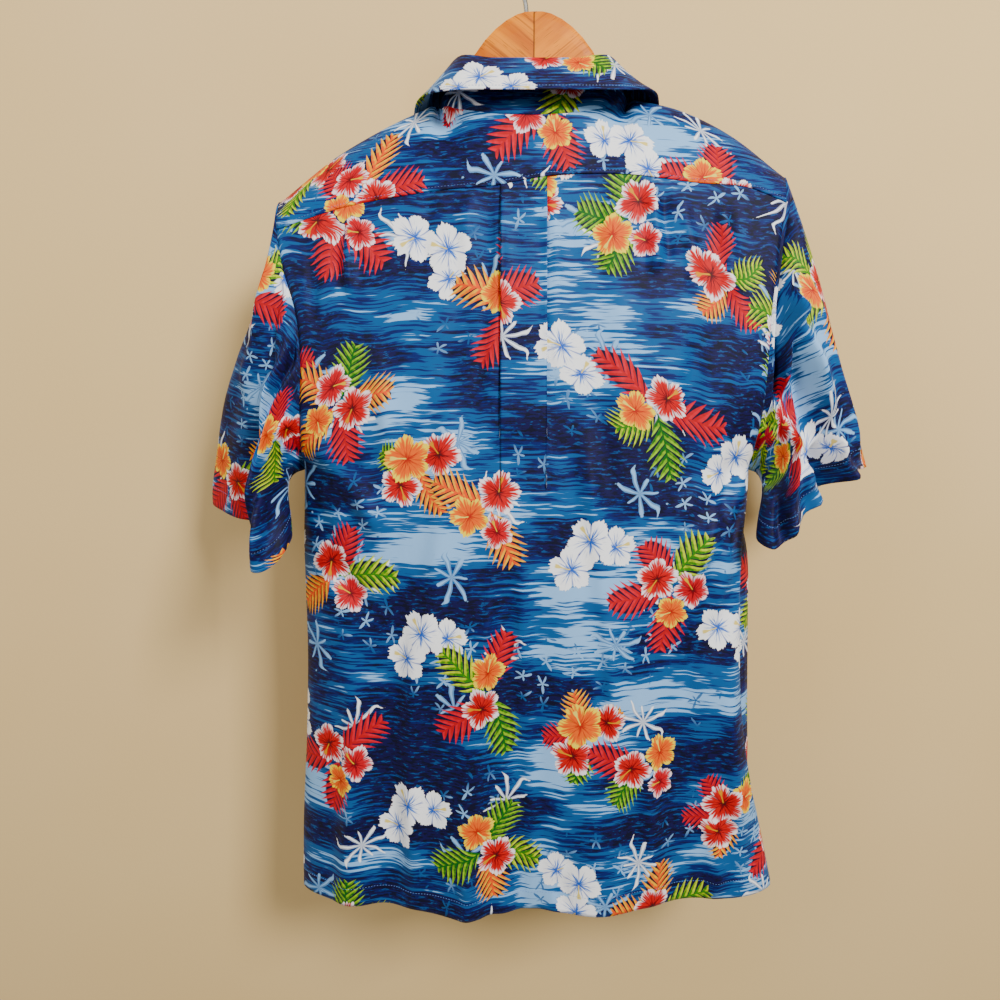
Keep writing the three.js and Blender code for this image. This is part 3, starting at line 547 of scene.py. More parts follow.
def front_point(side, share, down):
    top = front_top(side, share)
    z = mix(top[..., 2], HEM_Z, down)
    edge = edge_x(side, z)
    body_x = mix(-side * OVERLAP, edge, share)
    to_side = np.minimum(np.abs(body_x / edge), 1)
    body_y = section_y(
        body["front_edge"](z), body["front_mid"](z), body["round"](z), to_side
    )
    fall = top[..., 2] - z
    settled = smooth(fall / 100)
    wrap = np.where(side == RIGHT, body["wrap"](z), 0)
    bulge = BULGE * wrap * smooth((share - 0.7) / 0.23) * (1 - smooth((share - 0.955) / 0.045))
    x = mix(top[..., 0], body_x, settled) + side * bulge
    seam_back = SEAM_BACK * wrap * smooth((share - 0.9) / 0.1)
    y = mix(top[..., 1] - 0.25 * fall, body_y, settled) + seam_back
    under = np.where(
        side == RIGHT, UNDER_FRONT * smooth((x + 3 * OVERLAP) / (2 * OVERLAP)), 0
    )
    off_placket = smooth((np.abs(x) - 1.4 * OVERLAP) / (2 * OVERLAP))
    inside = smooth((1 - share) * 20)
    creases = folded_by(FRONT_FOLDS, x, z) - inside * creased_by(FRONT_CREASES, x, z)
    return vec(x, y + under + creases * off_placket, z)


def yoke_point(share, over):
    """The yoke: share from -1 at the wearer's right armhole to 1, over from the back seam to the front."""
    side = np.where(share < 0, RIGHT, LEFT)
    at = np.abs(share)
    seam_x = side * np.where(side == LEFT, YOKE_LEFT, YOKE_RIGHT) * at**1.08
    seam_z = yoke_seam_z(seam_x) + SEAM_GAP
    edge = edge_x(side, seam_z) - PLEAT_CENTRE
    to_side = np.minimum(np.abs((seam_x - PLEAT_CENTRE) / edge), 1)
    seam_y = section_y(
        body["back_edge"](seam_z), body["back_mid"](seam_z), body["round"](seam_z), to_side
    )
    start_at = vec(seam_x, seam_y, seam_z)
    to = yoke_edge(side, at)
    ridge_z = np.where(side == LEFT, yoke_top("ridge_left", at), yoke_top("ridge_right", at))
    lies = yoke_top("over", at)[..., None]
    straight = mix(start_at, to, RIDGE_AT)
    top = vec(side * mix(np.abs(seam_x), np.abs(to[..., 0]), 0.7), -6, ridge_z)
    ridge = mix(straight, top, lies)
    span = to - start_at
    reach = np.linalg.norm(span, axis=-1, keepdims=True)
    start = np.array([0, -0.1, 1]) * reach * mix(1, 1.1, lies)
    crest = mix(span, vec(span[..., 0] * 0.6, -58, -4), lies)
    finish = mix(span, vec(0, -20, -52), lies)
    rest = 1 - RIDGE_AT
    first = hermite(
        start_at, start * RIDGE_AT, ridge, crest * RIDGE_AT, (over / RIDGE_AT)[..., None]
    )
    second = hermite(
        ridge, crest * rest, to, finish * rest, ((over - RIDGE_AT) / rest)[..., None]
    )
    return np.where((over < RIDGE_AT)[..., None], first, second)


def armhole(side):
    """Points round an armhole, evenly spaced, as a function of share."""
    one = np.array([side * 1.0])
    seam_z = yoke_point(one, np.array([0.0]))[0, 2]
    side_array = np.full(60, side)
    up = np.linspace(RIDGE_AT, 0, 16)
    down = np.linspace(0, 1, 60)
    back = np.vstack(
        [
            yoke_point(np.full(16, side * 1.0), up),
            back_point(side_array, np.full(60, 7.0), mix(seam_z, ARMPIT_Z, down))[1:],
        ]
    )
    top = front_top(side, np.array([1.0]))[0, 2]
    share = (top - mix(ARMPIT_Z, top, down)) / (top - HEM_Z)
    over = np.linspace(1, RIDGE_AT, 12)
    front = np.vstack(
        [
            front_point(side, np.full(60, 1.0), share),
            yoke_point(np.full(12, side * 1.0), over)[1:],
        ]
    )

    def along(line, t):
        run = np.r_[0, np.cumsum(np.linalg.norm(np.diff(line, axis=0), axis=1))]
        run = run / run[-1]
        return np.stack([np.interp(t, run, line[:, k]) for k in range(3)], axis=-1)

    def at(share):
        return np.where(
            (share < 0.5)[..., None], along(back, 2 * share), along(front, 2 * share - 1)
        )

    return at


def sleeve_grid(side, shares, downs):
    """Rows of a sleeve from the armhole to its hem, for shares round it."""
    loop = armhole(side)
    cuff = round_loop(LEFT_CUFF if side == LEFT else RIGHT_CUFF)
    leaves = round_loop(SLEEVE_LEAVES)
    folds = LEFT_SLEEVE_FOLDS if side == LEFT else RIGHT_SLEEVE_FOLDS
    start = loop(shares) + np.array([side * SETBACK, 0, 0])
    end = vec(cuff["x"](shares), cuff["y"](shares), cuff["z"](shares))
    reach = np.linalg.norm(end - start, axis=-1, keepdims=True)
    sideways = leaves["left"] if side == LEFT else leaves["right"]
    leave = unit(vec(side * sideways(shares), leaves["y"](shares), leaves["z"](shares)))
    round_top = 0.5 + 0.5 * np.cos(2 * np.pi * shares)
    flare = mix(0.05, 0.08 if side == LEFT else 0.34, round_top)
    arrive = vec(side * flare, 0, -1) * reach
    outward = end - np.array([side * 240, 0, 0])
    outward[..., 2] = 0
    outward = unit(unit(outward) + vec(0, np.sin(2 * np.pi * shares), 0))
    creases = LEFT_CREASES if side == LEFT else RIGHT_CREASES
    made = []
    for down in downs:
        moved = 0
        for share, deepest, wide, long, depth in zip(*folds.values()):
            across = np.exp(-(((shares - share) / wide) ** 2))
            moved = moved + depth * across * np.exp(-(((down - deepest) / long) ** 2))
        finer = creased_by(creases, SLEEVE_ROUND * shares, -SLEEVE_REACH * down)
        moved = moved * smooth(5 * down) + finer * smooth(25 * down)
        t = np.full((len(shares), 1), down)
        line = hermite(start, leave * reach, end, arrive, t)
        made.append(line + outward * np.asarray(moved)[..., None])
    return np.array(made)


# Meshes


def arc(grid, axis):
    """Lengths along the rows or columns of a grid."""
    step = np.linalg.norm(np.diff(grid, axis=axis), axis=-1)
    run = np.cumsum(step, axis=axis)
    pad = [(0, 0), (0, 0)]
    pad[axis] = (1, 0)
    return np.pad(run, pad)


def cloth_uv(grid, middle, base, offset):
    """Flat cloth coordinates in millimetres: across from one column, and up from one row."""
    across, along = arc(grid, 1), arc(grid, 0)
    u = across - across[:, middle : middle + 1]
    v = along[base : base + 1] - along
    return np.stack([u, v], axis=-1) + np.array(offset)


def grid_normals(grid, looped=False):
    if looped:
        across = np.roll(grid, -1, axis=1) - np.roll(grid, 1, axis=1)
    else:
        across = np.gradient(grid, axis=1)
    return unit(np.cross(np.gradient(grid, axis=0), across))


def new_object(name, points, faces):
    """A new object in the scene: a smooth mesh through points in millimetres."""
    mesh = bpy.data.meshes.new(name)
    mesh.from_pydata((points * MM).tolist(), [], faces.tolist())
    for polygon in mesh.polygons:
        polygon.use_smooth = True
    made = bpy.data.objects.new(name, mesh)
    bpy.context.scene.collection.objects.link(made)
    return made


def cloth_mesh(name, grid, uv, outward, sewn, looped=False):
    """A sheet through a grid of points, or a tube whose flat coordinates are cut opposite its first column.

    outward is a direction that its right side faces on the whole, and sewn is 1 at a seam.
    """
    m, n = grid.shape[:2]
    i, j = np.meshgrid(np.arange(m - 1), np.arange(n - (0 if looped else 1)), indexing="ij")
    k = (j + 1) % n
    quads = np.stack([i * n + j, (i + 1) * n + j, (i + 1) * n + k, i * n + k], axis=-1).reshape(-1, 4)
    corner = np.stack([j, j, j + 1, j + 1], axis=-1).reshape(-1, 4)
    row = np.stack([i, i + 1, i + 1, i], axis=-1).reshape(-1, 4)
    points = grid.reshape(-1, 3)
    a, b, c = (points[quads[:, q]] for q in (0, 1, 2))
    facing = np.cross(b - a, c - a) * outward(points[quads].mean(axis=1))
    if facing.sum() < 0:
        quads, corner, row = quads[:, ::-1], corner[:, ::-1], row[:, ::-1]
    flat_at = uv[row, corner]
    if looped:
        past_seam = j.reshape(-1, 1) >= n // 2
        flat_at[..., 0] -= past_seam * (uv[row, -1, 0] - uv[row, 0, 0])
    made = new_object(name, points, quads)
    layer = made.data.uv_layers.new(name="Cloth")
    layer.data.foreach_set("uv", (flat_at * MM).astype(np.float32).ravel())
    attribute = made.data.attributes.new("Sewn", "FLOAT", "POINT")
    attribute.data.foreach_set("value", sewn.astype(np.float32).ravel())
    made.data.update()
    return made


def looped_uv(grid, base, offset):
    """Flat coordinates of a tube, all round it from its first column, with its folds smoothed out."""
    n = grid.shape[1]
    closed = np.concatenate([grid, grid[:, :1]], axis=1)
    across = arc(closed, 1)
    along = arc(closed, 0)
    reach, softness = 24, 10
    spread = np.exp(-((np.arange(-reach, reach + 1) / softness) ** 2))
    spread = spread / spread.sum()
    wrapped = np.concatenate([along[:, n - reach : n], along[:, :n], along[:, : reach + 1]], axis=1)
    along = np.array([np.convolve(row, spread, "valid") for row in wrapped])
    v = along[base : base + 1] - along
    return np.stack([across, v], axis=-1) + np.array(offset)


def finish_cloth(made, thickness, nodes):
    """Gives a sheet its thickness and its place in the part."""
    shell = made.modifiers.new("Thickness", "SOLIDIFY")
    shell.thickness = thickness
    shell.offset = -1
    shell.material_offset = 1
    shell.material_offset_rim = 0
    shell.use_even_offset = False
    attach(made, "root")
    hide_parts(*nodes)


# Node networks


class Net:
    """Adds nodes to a tree. Each call takes sockets or plain values, and gives an output socket."""

    def __init__(self, tree):
        self.tree = tree

    def feed(self, socket, value):
        if isinstance(value, bpy.types.NodeSocket):
            self.tree.links.new(value, socket)
        elif value is not None:
            socket.default_value = value

    def node(self, kind, settings=None, **values):
        made = self.tree.nodes.new(kind)
        for name, value in (settings or {}).items():
            setattr(made, name, value)
        for name, value in values.items():
            self.feed(made.inputs[name.replace("_", " ")], value)
        return made

    def math(self, operation, a, b=None, c=None, clamp=False):
        made = self.tree.nodes.new("ShaderNodeMath")
        made.operation, made.use_clamp = operation, clamp
        for socket, value in zip(made.inputs, (a, b, c)):
            self.feed(socket, value)
        return made.outputs[0]

    def add(self, a, b):
        return self.math("ADD", a, b)

    def sub(self, a, b):
        return self.math("SUBTRACT", a, b)

    def mul(self, a, b):
        return self.math("MULTIPLY", a, b)

    def vector(self, operation, a, b=None, scale=None):
        made = self.tree.nodes.new("ShaderNodeVectorMath")
        made.operation = operation
        self.feed(made.inputs[0], a)
        self.feed(made.inputs[1], b)
        if scale is not None:
            self.feed(made.inputs["Scale"], scale)
        return made.outputs["Value" if operation in ("LENGTH", "DOT_PRODUCT") else "Vector"]

    def join(self, x=0.0, y=0.0, z=0.0):
        return self.node("ShaderNodeCombineXYZ", X=x, Y=y, Z=z).outputs[0]

    def split(self, v):
        return self.node("ShaderNodeSeparateXYZ", Vector=v).outputs

    def step(self, value, low, high, to=(0.0, 1.0)):
        made = self.tree.nodes.new("ShaderNodeMapRange")
        made.interpolation_type = "SMOOTHSTEP"
        for socket, x in zip(made.inputs, (value, low, high, *to)):
            self.feed(socket, x)
        return made.outputs[0]

    def noise(self, point, scale, detail=2.0, rough=0.5, kind="2D"):
        made = self.node("ShaderNodeTexNoise", {"noise_dimensions": kind})
        for name, value in (("Vector", point), ("Scale", scale), ("Detail", detail)):
            self.feed(made.inputs[name], value)
        made.inputs["Roughness"].default_value = rough
        return made.outputs["Fac"]

    def mix(self, factor, a, b):
        """A mix of two colours. The node has sockets for them after those for numbers and vectors."""
        made = self.node("ShaderNodeMix", {"data_type": "RGBA"})
        self.feed(made.inputs[0], factor)
        self.feed(made.inputs[6], a)
        self.feed(made.inputs[7], b)
        return made.outputs[2]

    def ramp(self, value, hexes):
        """One of a few colours, by a value from 0 to 1."""
        made = self.node("ShaderNodeValToRGB", Fac=value)
        made.color_ramp.interpolation = "CONSTANT"
        stops = made.color_ramp.elements
        while len(stops) < len(hexes):
            stops.new(0.5)
        for i, hexed in enumerate(hexes):
            stops[i].position = i / len(hexes)
            stops[i].color = colour(hexed)
        return made.outputs[0]

    def rotate(self, v, angle):
        made = self.node("ShaderNodeVectorRotate", {"rotation_type": "Z_AXIS"})
        self.feed(made.inputs["Vector"], v)
        self.feed(made.inputs["Angle"], angle)
        return made.outputs[0]

    def group(self, tree, **values):
        made = self.tree.nodes.new("ShaderNodeGroup")
        made.node_tree = tree
        for name, value in values.items():
            self.feed(made.inputs[name.replace("_", " ")], value)
        return made.outputs


def node_group(name, inputs, outputs, build):
    """A node group whose inputs have a name, kind and default, and whose outputs a name and kind.

    build gets a Net and the inputs, and gives the outputs.
    """
    tree = bpy.data.node_groups.new(name, "ShaderNodeTree")
    for label, kind, default in inputs:
        socket = tree.interface.new_socket(label, in_out="INPUT", socket_type=f"NodeSocket{kind}")
        socket.default_value = default
    for label, kind in outputs:
        tree.interface.new_socket(label, in_out="OUTPUT", socket_type=f"NodeSocket{kind}")
    start = tree.nodes.new("NodeGroupInput")
    end = tree.nodes.new("NodeGroupOutput")
    net = Net(tree)
    made = build(net, {socket.name: socket for socket in start.outputs if socket.name})
    for label, _ in outputs:
        net.feed(end.inputs[label], made[label])
    return tree


def colour(hexed, alpha=1.0):
    """A colour of six hex digits, as Blender's linear values."""
    parts = [int(hexed[i : i + 2], 16) / 255 for i in (0, 2, 4)]
    linear = [c / 12.92 if c <= 0.04045 else ((c + 0.055) / 1.055) ** 2.4 for c in parts]
    return (*linear, alpha)


# The colours of the ground and the rosettes: what each is, and six hex digits
TONES = {
    "Deep": ("Darkest blue of the print", "0b0642"),
    "Royal": ("Royal blue of the print", "051860"),
    "Bright": ("Clear blue of the print", "06528e"),
    "Pale": ("Palest blue of the print", "8cbcea"),
    "White": ("White of the print", "ffffff"),
}
INK = "03051c"


def tone_inputs(*names):
    """Inputs of a node group: coordinates, and some of the print's colours."""
    tones = [(name, "Color", colour(TONES[name][1])) for name in names]
    return [("Coordinates", "Vector", (0, 0, 0)), *tones]


def ground_group():
    """Brushed ground of the print: broad bands of blue, broken into long dry strokes and short waves."""
    inputs = [*tone_inputs("Deep", "Royal", "Bright", "Pale"), ("Ink", "Color", colour(INK))]

    def build(net, ins):
        at = ins["Coordinates"]
        wide = net.noise(net.vector("MULTIPLY", at, (5.5, 15.0, 1.0)), 1.0, 2.0, 0.55)
        wide = net.sub(wide, 0.012)
        broken = net.noise(net.vector("MULTIPLY", at, (17.0, 300.0, 1.0)), 1.0, 2.0, 0.62)
        dash = net.noise(net.vector("MULTIPLY", at, (85.0, 360.0, 1.0)), 1.0, 2.0, 0.6)
        tone = net.add(wide, net.mul(net.sub(broken, 0.5), 0.55))
        made = net.mix(net.step(tone, 0.41, 0.435), ins["Deep"], ins["Royal"])
        made = net.mix(net.step(tone, 0.48, 0.505), made, ins["Bright"])
        made = net.mix(net.step(tone, 0.6, 0.635), made, ins["Pale"])
        waves = net.step(net.add(wide, net.mul(broken, 0.2)), 0.62, 0.5)
        dark = net.mul(waves, net.step(dash, 0.53, 0.57))
        light = net.mul(waves, net.step(dash, 0.37, 0.34))
        made = net.mix(net.mul(light, 0.7), made, ins["Bright"])
        made = net.mix(net.mul(dark, 0.85), made, ins["Ink"])
        return {"Color": made}

    return node_group("Brushed ground", inputs, [("Color", "Color")], build)


def bloom_group():
    """A five-petalled bloom: ruffled petals streaked from their pale tips, a dark throat and a stamen."""
    inputs = [
        ("Point", "Vector", (0, 0, 0)),
        ("Centre", "Vector", (0, 0, 0)),
        ("Turn", "Float", 0.0),
        ("Radius", "Float", 0.02),
        ("Start", "Float", 0.6),
        *((part, "Color", colour(hexed)) for part, hexed in zip(BLOOM_PARTS, RED_BLOOM)),
    ]

    def build(net, ins):
        p = net.rotate(net.vector("SUBTRACT", ins["Point"], ins["Centre"]), ins["Turn"])
        x, y, _ = net.split(p)
        r = net.math("DIVIDE", net.vector("LENGTH", p), ins["Radius"])
        angle = net.math("ARCTAN2", y, x)
        rays = net.noise(net.join(net.mul(angle, 8.0), net.mul(r, 1.4)), 1.0, 2.0, 0.6)
        rays = net.sub(rays, 0.5)
        lobe = net.math("ABSOLUTE", net.math("COSINE", net.mul(angle, 2.5)))
        rim = net.add(0.58, net.mul(net.math("POWER", lobe, 0.5), 0.38))
        t = net.math("DIVIDE", r, net.add(rim, net.mul(rays, 0.32)))
        mask = net.step(t, 1.0, 0.96)
        late = net.add(ins["Start"], 0.26)
        edge = net.step(net.add(t, net.mul(rays, 1.3)), ins["Start"], late)
        made = net.mix(edge, ins["Petal"], ins["Edge"])
        vein = net.mul(net.step(rays, -0.03, -0.15), net.step(t, 0.95, 0.35))
        made = net.mix(net.mul(vein, 0.55), made, ins["Throat"])
        gap = net.mul(net.step(lobe, 0.22, 0.05), net.step(t, 0.15, 0.4))
        made = net.mix(net.mul(gap, 0.75), made, ins["Throat"])
        made = net.mix(net.step(net.add(t, rays), 0.32, 0.12), made, ins["Throat"])
        sx = net.math("DIVIDE", x, ins["Radius"])
        sy = net.math("ABSOLUTE", net.math("DIVIDE", y, ins["Radius"]))
        thick = net.add(0.035, net.mul(net.step(sx, 0.35, 0.6), 0.07))
        stem = net.mul(net.step(sy, thick, net.mul(thick, 0.6)), net.step(sx, 0.0, 0.08))
        stem = net.mul(stem, net.step(sx, 0.72, 0.64))
        made = net.mix(stem, made, ins["Stamen"])
        return {"Color": made, "Mask": mask}

    return node_group("Bloom", inputs, [("Color", "Color"), ("Mask", "Float")], build)


def frond_group():
    """Feathered leaves round a point, one in each sector with some left out: leaflets over a dark shade."""
    inputs = [
        ("Point", "Vector", (0, 0, 0)),
        ("Chance", "Float", 0.0),
        ("Sectors", "Float", 5.0),
        ("Length", "Float", 0.06),
        ("Width", "Float", 0.021),
        ("Leaflets", "Float", 8.0),
        ("Missing", "Float", 0.25),
        ("Shade", "Color", colour("060a2c")),
    ]

    def build(net, ins):
        x, y, _ = net.split(ins["Point"])
        angle = net.math("ARCTAN2", y, x)
        wedge = net.math("DIVIDE", 2 * math.pi, ins["Sectors"])
        sector = net.math("FLOOR", net.math("DIVIDE", net.add(angle, math.pi), wedge))
        white = net.node("ShaderNodeTexWhiteNoise", {"noise_dimensions": "2D"})
        net.feed(white.inputs["Vector"], net.join(sector, net.mul(ins["Chance"], 97.0)))
        chances = net.node("ShaderNodeSeparateColor", Color=white.outputs["Color"])
        lean, size, tint = chances.outputs
        middle = net.sub(net.mul(net.add(sector, 0.5), wedge), math.pi)
        turn = net.add(middle, net.mul(net.sub(lean, 0.5), 0.3))
        p = net.rotate(ins["Point"], net.mul(turn, -1.0))
        x, y, _ = net.split(p)
        length = net.mul(ins["Length"], net.add(0.78, net.mul(size, 0.3)))
        along = net.math("DIVIDE", x, length)
        bend = net.mul(net.mul(along, net.sub(along, 1.0)), net.mul(net.sub(size, 0.5), 0.035))
        y = net.add(y, bend)
        off = net.math("ABSOLUTE", y)
        s = net.sub(along, net.math("DIVIDE", net.mul(off, 0.95), length))
        inside = net.mul(net.step(s, 0.08, 0.12), net.step(s, 1.0, 0.97))
        swell = net.math("POWER", net.math("MAXIMUM", s, 0.001), 0.75)
        swell = net.math("MAXIMUM", net.math("SINE", net.mul(swell, math.pi)), 0.02)
        reach = net.math("DIVIDE", off, ins["Width"])
        reach = net.math("DIVIDE", reach, net.math("POWER", swell, 0.6))
        part = net.add(net.mul(s, ins["Leaflets"]), net.mul(net.math("SIGN", y), 0.22))
        part = net.math("FRACT", part)
        half = net.mul(0.46, net.sub(1.0, net.math("POWER", reach, 1.9)))
        leaf = net.step(net.sub(half, net.math("ABSOLUTE", net.sub(part, 0.5))), 0.0, 0.06)
        under = net.mul(net.step(reach, 0.7, 0.6), inside)
        rib = net.mul(net.step(off, 0.0009, 0.0005), net.step(along, 0.99, 0.96))
        rib = net.mul(rib, net.step(along, 0.02, 0.06))
        leaf = net.mul(leaf, inside)
        mask = net.math("MAXIMUM", net.math("MAXIMUM", leaf, under), rib)
        grain = net.sub(net.noise(ins["Point"], 240.0, 1.0), 0.5)
        light = net.add(net.mul(reach, 0.55), net.mul(net.step(part, 0.42, 0.62), 0.55))
        light = net.add(light, net.mul(grain, 0.9))
        near = net.ramp(tint, LEAF_NEAR)
        far = net.ramp(tint, LEAF_FAR)
        made = net.mix(net.math("ADD", light, -0.1, clamp=True), near, far)
        made = net.mix(leaf, ins["Shade"], made)
        made = net.mix(rib, made, near)
        shown = net.math("GREATER_THAN", white.outputs["Value"], ins["Missing"])
        return {"Color": made, "Mask": net.mul(mask, shown)}

    return node_group("Frond", inputs, [("Color", "Color"), ("Mask", "Float")], build)


def spray_group():
    """A loose rosette of narrow ragged leaves, as one flat colour."""
    inputs = [
        ("Point", "Vector", (0, 0, 0)),
        ("Radius", "Float", 0.028),
        ("Leaves", "Float", 3.5),
    ]

    def build(net, ins):
        p = ins["Point"]
        x, y, _ = net.split(p)
        r = net.math("DIVIDE", net.vector("LENGTH", p), ins["Radius"])
        wobble = net.sub(net.noise(p, 38.0, 1.0), 0.5)
        angle = net.add(net.math("ARCTAN2", y, x), net.mul(net.mul(r, wobble), 1.7))
        lobe = net.math("ABSOLUTE", net.math("COSINE", net.mul(angle, ins["Leaves"])))
        reach = net.add(0.66, net.mul(net.math("SINE", net.mul(angle, 2.0)), 0.26))
        rim = net.add(0.12, net.mul(net.math("POWER", lobe, 3.6), reach))
        ragged = net.mul(net.sub(net.noise(p, 420.0, 1.0), 0.5), 0.22)
        mask = net.step(net.add(net.math("DIVIDE", r, rim), ragged), 1.0, 0.9)
        shade = net.step(lobe, 0.99, 0.93)
        return {"Mask": mask, "Shade": shade}

    return node_group("Spray", inputs, [("Mask", "Float"), ("Shade", "Float")], build)


def place(net, at, size, seed, spin, jitter, shift=(0.37, 0.61)):
    """Local coordinates and random values of the cell that holds a point, turned and mirrored by chance.

    Every second column of cells is set half a cell higher.
    """
    x, y, _ = net.split(at)
    across = net.add(net.math("DIVIDE", x, size[0]), shift[0])
    column = net.math("FLOOR", across)
    half_up = net.math("FRACT", net.mul(column, 0.5))
    up = net.add(net.add(net.math("DIVIDE", y, size[1]), shift[1]), half_up)
    row = net.math("FLOOR", up)
    local_x = net.mul(net.sub(net.math("FRACT", across), 0.5), size[0])
    local_y = net.mul(net.sub(net.math("FRACT", up), 0.5), size[1])
    white = net.node("ShaderNodeTexWhiteNoise", {"noise_dimensions": "3D"})
    net.feed(white.inputs["Vector"], net.join(net.add(column, 0.5), net.add(row, 0.5), seed + 0.5))
    first, second, third = net.node("ShaderNodeSeparateColor", Color=white.outputs["Color"]).outputs
    local = net.join(
        net.add(local_x, net.mul(net.sub(third, 0.5), jitter)),
        net.add(local_y, net.mul(net.sub(white.outputs["Value"], 0.5), jitter)),
    )
    local = net.rotate(local, net.mul(net.sub(first, 0.5), spin))
    flip = net.sub(net.mul(net.math("GREATER_THAN", second, 0.5), 2.0), 1.0)
    return net.vector("MULTIPLY", local, net.join(flip, 1.0, 1.0)), white.outputs["Value"], third


# Leaf colours beside the rib and at the tips, one of four by chance, and a leaf's width by its length
LEAF_NEAR = ("b80010", "086008", "f04c00", "2a7a00")
LEAF_FAR = ("e40c30", "a8d808", "ffd000", "e0ec00")
LEAF_WIDTH = 0.34
# Colours of a bloom's parts
BLOOM_PARTS = ("Petal", "Edge", "Throat", "Stamen")
RED_BLOOM = ("cc0008", "fff0f2", "48000a", "d89000")
GOLD_BLOOM = ("f06000", "ffe018", "b01400", "f0d850")
ROSE_BLOOM = ("cc0018", "ffe4e8", "60000c", "e0b020")
WHITE_BLOOM = ("5a9ae8", "ffffff", "0c50b8", "e8d070")

# How far a cluster and a rosette may turn by chance, in radians
SLIGHT_TURN, FULL_TURN = 2.6, 6.28

# Clusters of the print: where their cells lie, how their leaves are sized, and their blooms by centre,
# turn, radius, two sets of colours to choose from, and how often they are left out.
CLUSTERS = {
    "Large cluster": {
        "cell": (0.171, 0.182),
        "shift": (0.31, 0.12),
        "seed": 1,
        "length": 0.064,
        "missing": 0.26,
        "pale": 0.0,
        "blooms": [
            ((0.013, -0.022), 1.0, 0.0175, ROSE_BLOOM, GOLD_BLOOM, 0.35),
            ((0.02, 0.009), 2.3, 0.0205, GOLD_BLOOM, ROSE_BLOOM, 0.0),
            ((-0.016, 0.002), 0.4, 0.0225, RED_BLOOM, RED_BLOOM, 0.0),
        ],
    },
    "Small cluster": {
        "cell": (0.171, 0.182),
        "shift": (0.83, 0.4),
        "seed": 4,
        "length": 0.05,
        "missing": 0.35,
        "pale": 0.66,
        "blooms": [
            ((0.026, 0.0), 3.9, 0.0215, GOLD_BLOOM, RED_BLOOM, 0.5),
            ((-0.022, -0.01), 1.2, 0.0235, RED_BLOOM, RED_BLOOM, 0.5),
            ((0.002, 0.012), 2.0, 0.0245, RED_BLOOM, GOLD_BLOOM, 0.0),
        ],
    },
}


# Rosettes of the print: seed, cell, radius, number that sets their leaves, colour and shift
ROSETTES = (
    (17, (0.171, 0.139), 0.03, 3.5, "Pale", (0.1, 0.9)),
    (11, (0.148, 0.151), 0.033, 4.5, "White", (0.37, 0.61)),
)


def cluster_group(name, facts, bloom, frond):
    """A cluster of the print: leaves with blooms over them, or pale blooms alone."""
    inputs = [("Coordinates", "Vector", (0, 0, 0))]

    def build(net, ins):
        at, chance, other = place(
            net, ins["Coordinates"], facts["cell"], facts["seed"], SLIGHT_TURN, 0.022, facts["shift"]
        )
        pale = net.math("LESS_THAN", chance, facts["pale"])
        leaves = net.group(
            frond, Point=at, Chance=chance, Length=facts["length"], Missing=facts["missing"],
            Width=facts["length"] * LEAF_WIDTH,
        )
        made, cover = leaves["Color"], net.mul(leaves["Mask"], net.sub(1.0, pale))
        swapped = net.math("GREATER_THAN", other, 0.5)
        drawn = net.math("FRACT", net.mul(other, 7.0))
        for centre, turn, radius, first, second, missing in facts["blooms"]:
            shades = {}
            for i, part in enumerate(BLOOM_PARTS):
                shade = net.mix(swapped, colour(first[i]), colour(second[i]))
                shades[part] = net.mix(pale, shade, colour(WHITE_BLOOM[i]))
            start = net.sub(0.7, net.mul(pale, 0.52))
            out = net.group(
                bloom, Point=at, Centre=(*centre, 0), Turn=net.add(turn, net.mul(chance, 4.0)),
                Radius=radius, Start=start, **shades,
            )
            kept = net.math("MAXIMUM", pale, net.math("GREATER_THAN", drawn, missing))
            mask = net.mul(out["Mask"], kept)
            made = net.mix(mask, made, out["Color"])
            cover = net.math("MAXIMUM", cover, mask)
        return {"Color": made, "Mask": cover}

    return node_group(name, inputs, [("Color", "Color"), ("Mask", "Float")], build)


def print_group():
    """The whole print, from flat cloth coordinates in metres."""
    bloom, frond, spray = bloom_group(), frond_group(), spray_group()
    ground = ground_group()
    clusters = [cluster_group(name, facts, bloom, frond) for name, facts in CLUSTERS.items()]
    inputs = tone_inputs(*TONES)

    def build(net, ins):
        at = ins["Coordinates"]
        blues = {name: ins[name] for name in ("Deep", "Royal", "Bright", "Pale")}
        made = net.group(ground, Coordinates=at, **blues)["Color"]
        zone = net.noise(net.vector("ADD", at, (4.0, 2.0, 0.0)), 9.0, 1.0)
        here, _, _ = place(net, at, (0.027, 0.024), 31, FULL_TURN, 0.008)
        out = net.group(spray, Point=here, Radius=0.011, Leaves=2.5)
        sprig = net.mix(net.step(zone, 0.6, 0.7), ins["Bright"], ins["Pale"])
        shown = net.mul(out["Mask"], net.step(zone, 0.56, 0.58))
        made = net.mix(net.mul(shown, 0.85), made, sprig)
        for seed, cell, radius, leaves, tone, shift in ROSETTES:
            here, _, _ = place(net, at, cell, seed, FULL_TURN, 0.03, shift)
            out = net.group(spray, Point=here, Radius=radius, Leaves=leaves)
            inner = net.mix(net.mul(out["Shade"], 0.4), ins["Bright"], ins[tone])
            inner = net.mix(out["Shade"], ins[tone], inner)
            made = net.mix(out["Mask"], made, inner)
        for tree in reversed(clusters):
            out = net.group(tree, Coordinates=at)
            made = net.mix(out["Mask"], made, out["Color"])
        return {"Color": made}

    return node_group("Floral print", inputs, [("Color", "Color")], build)


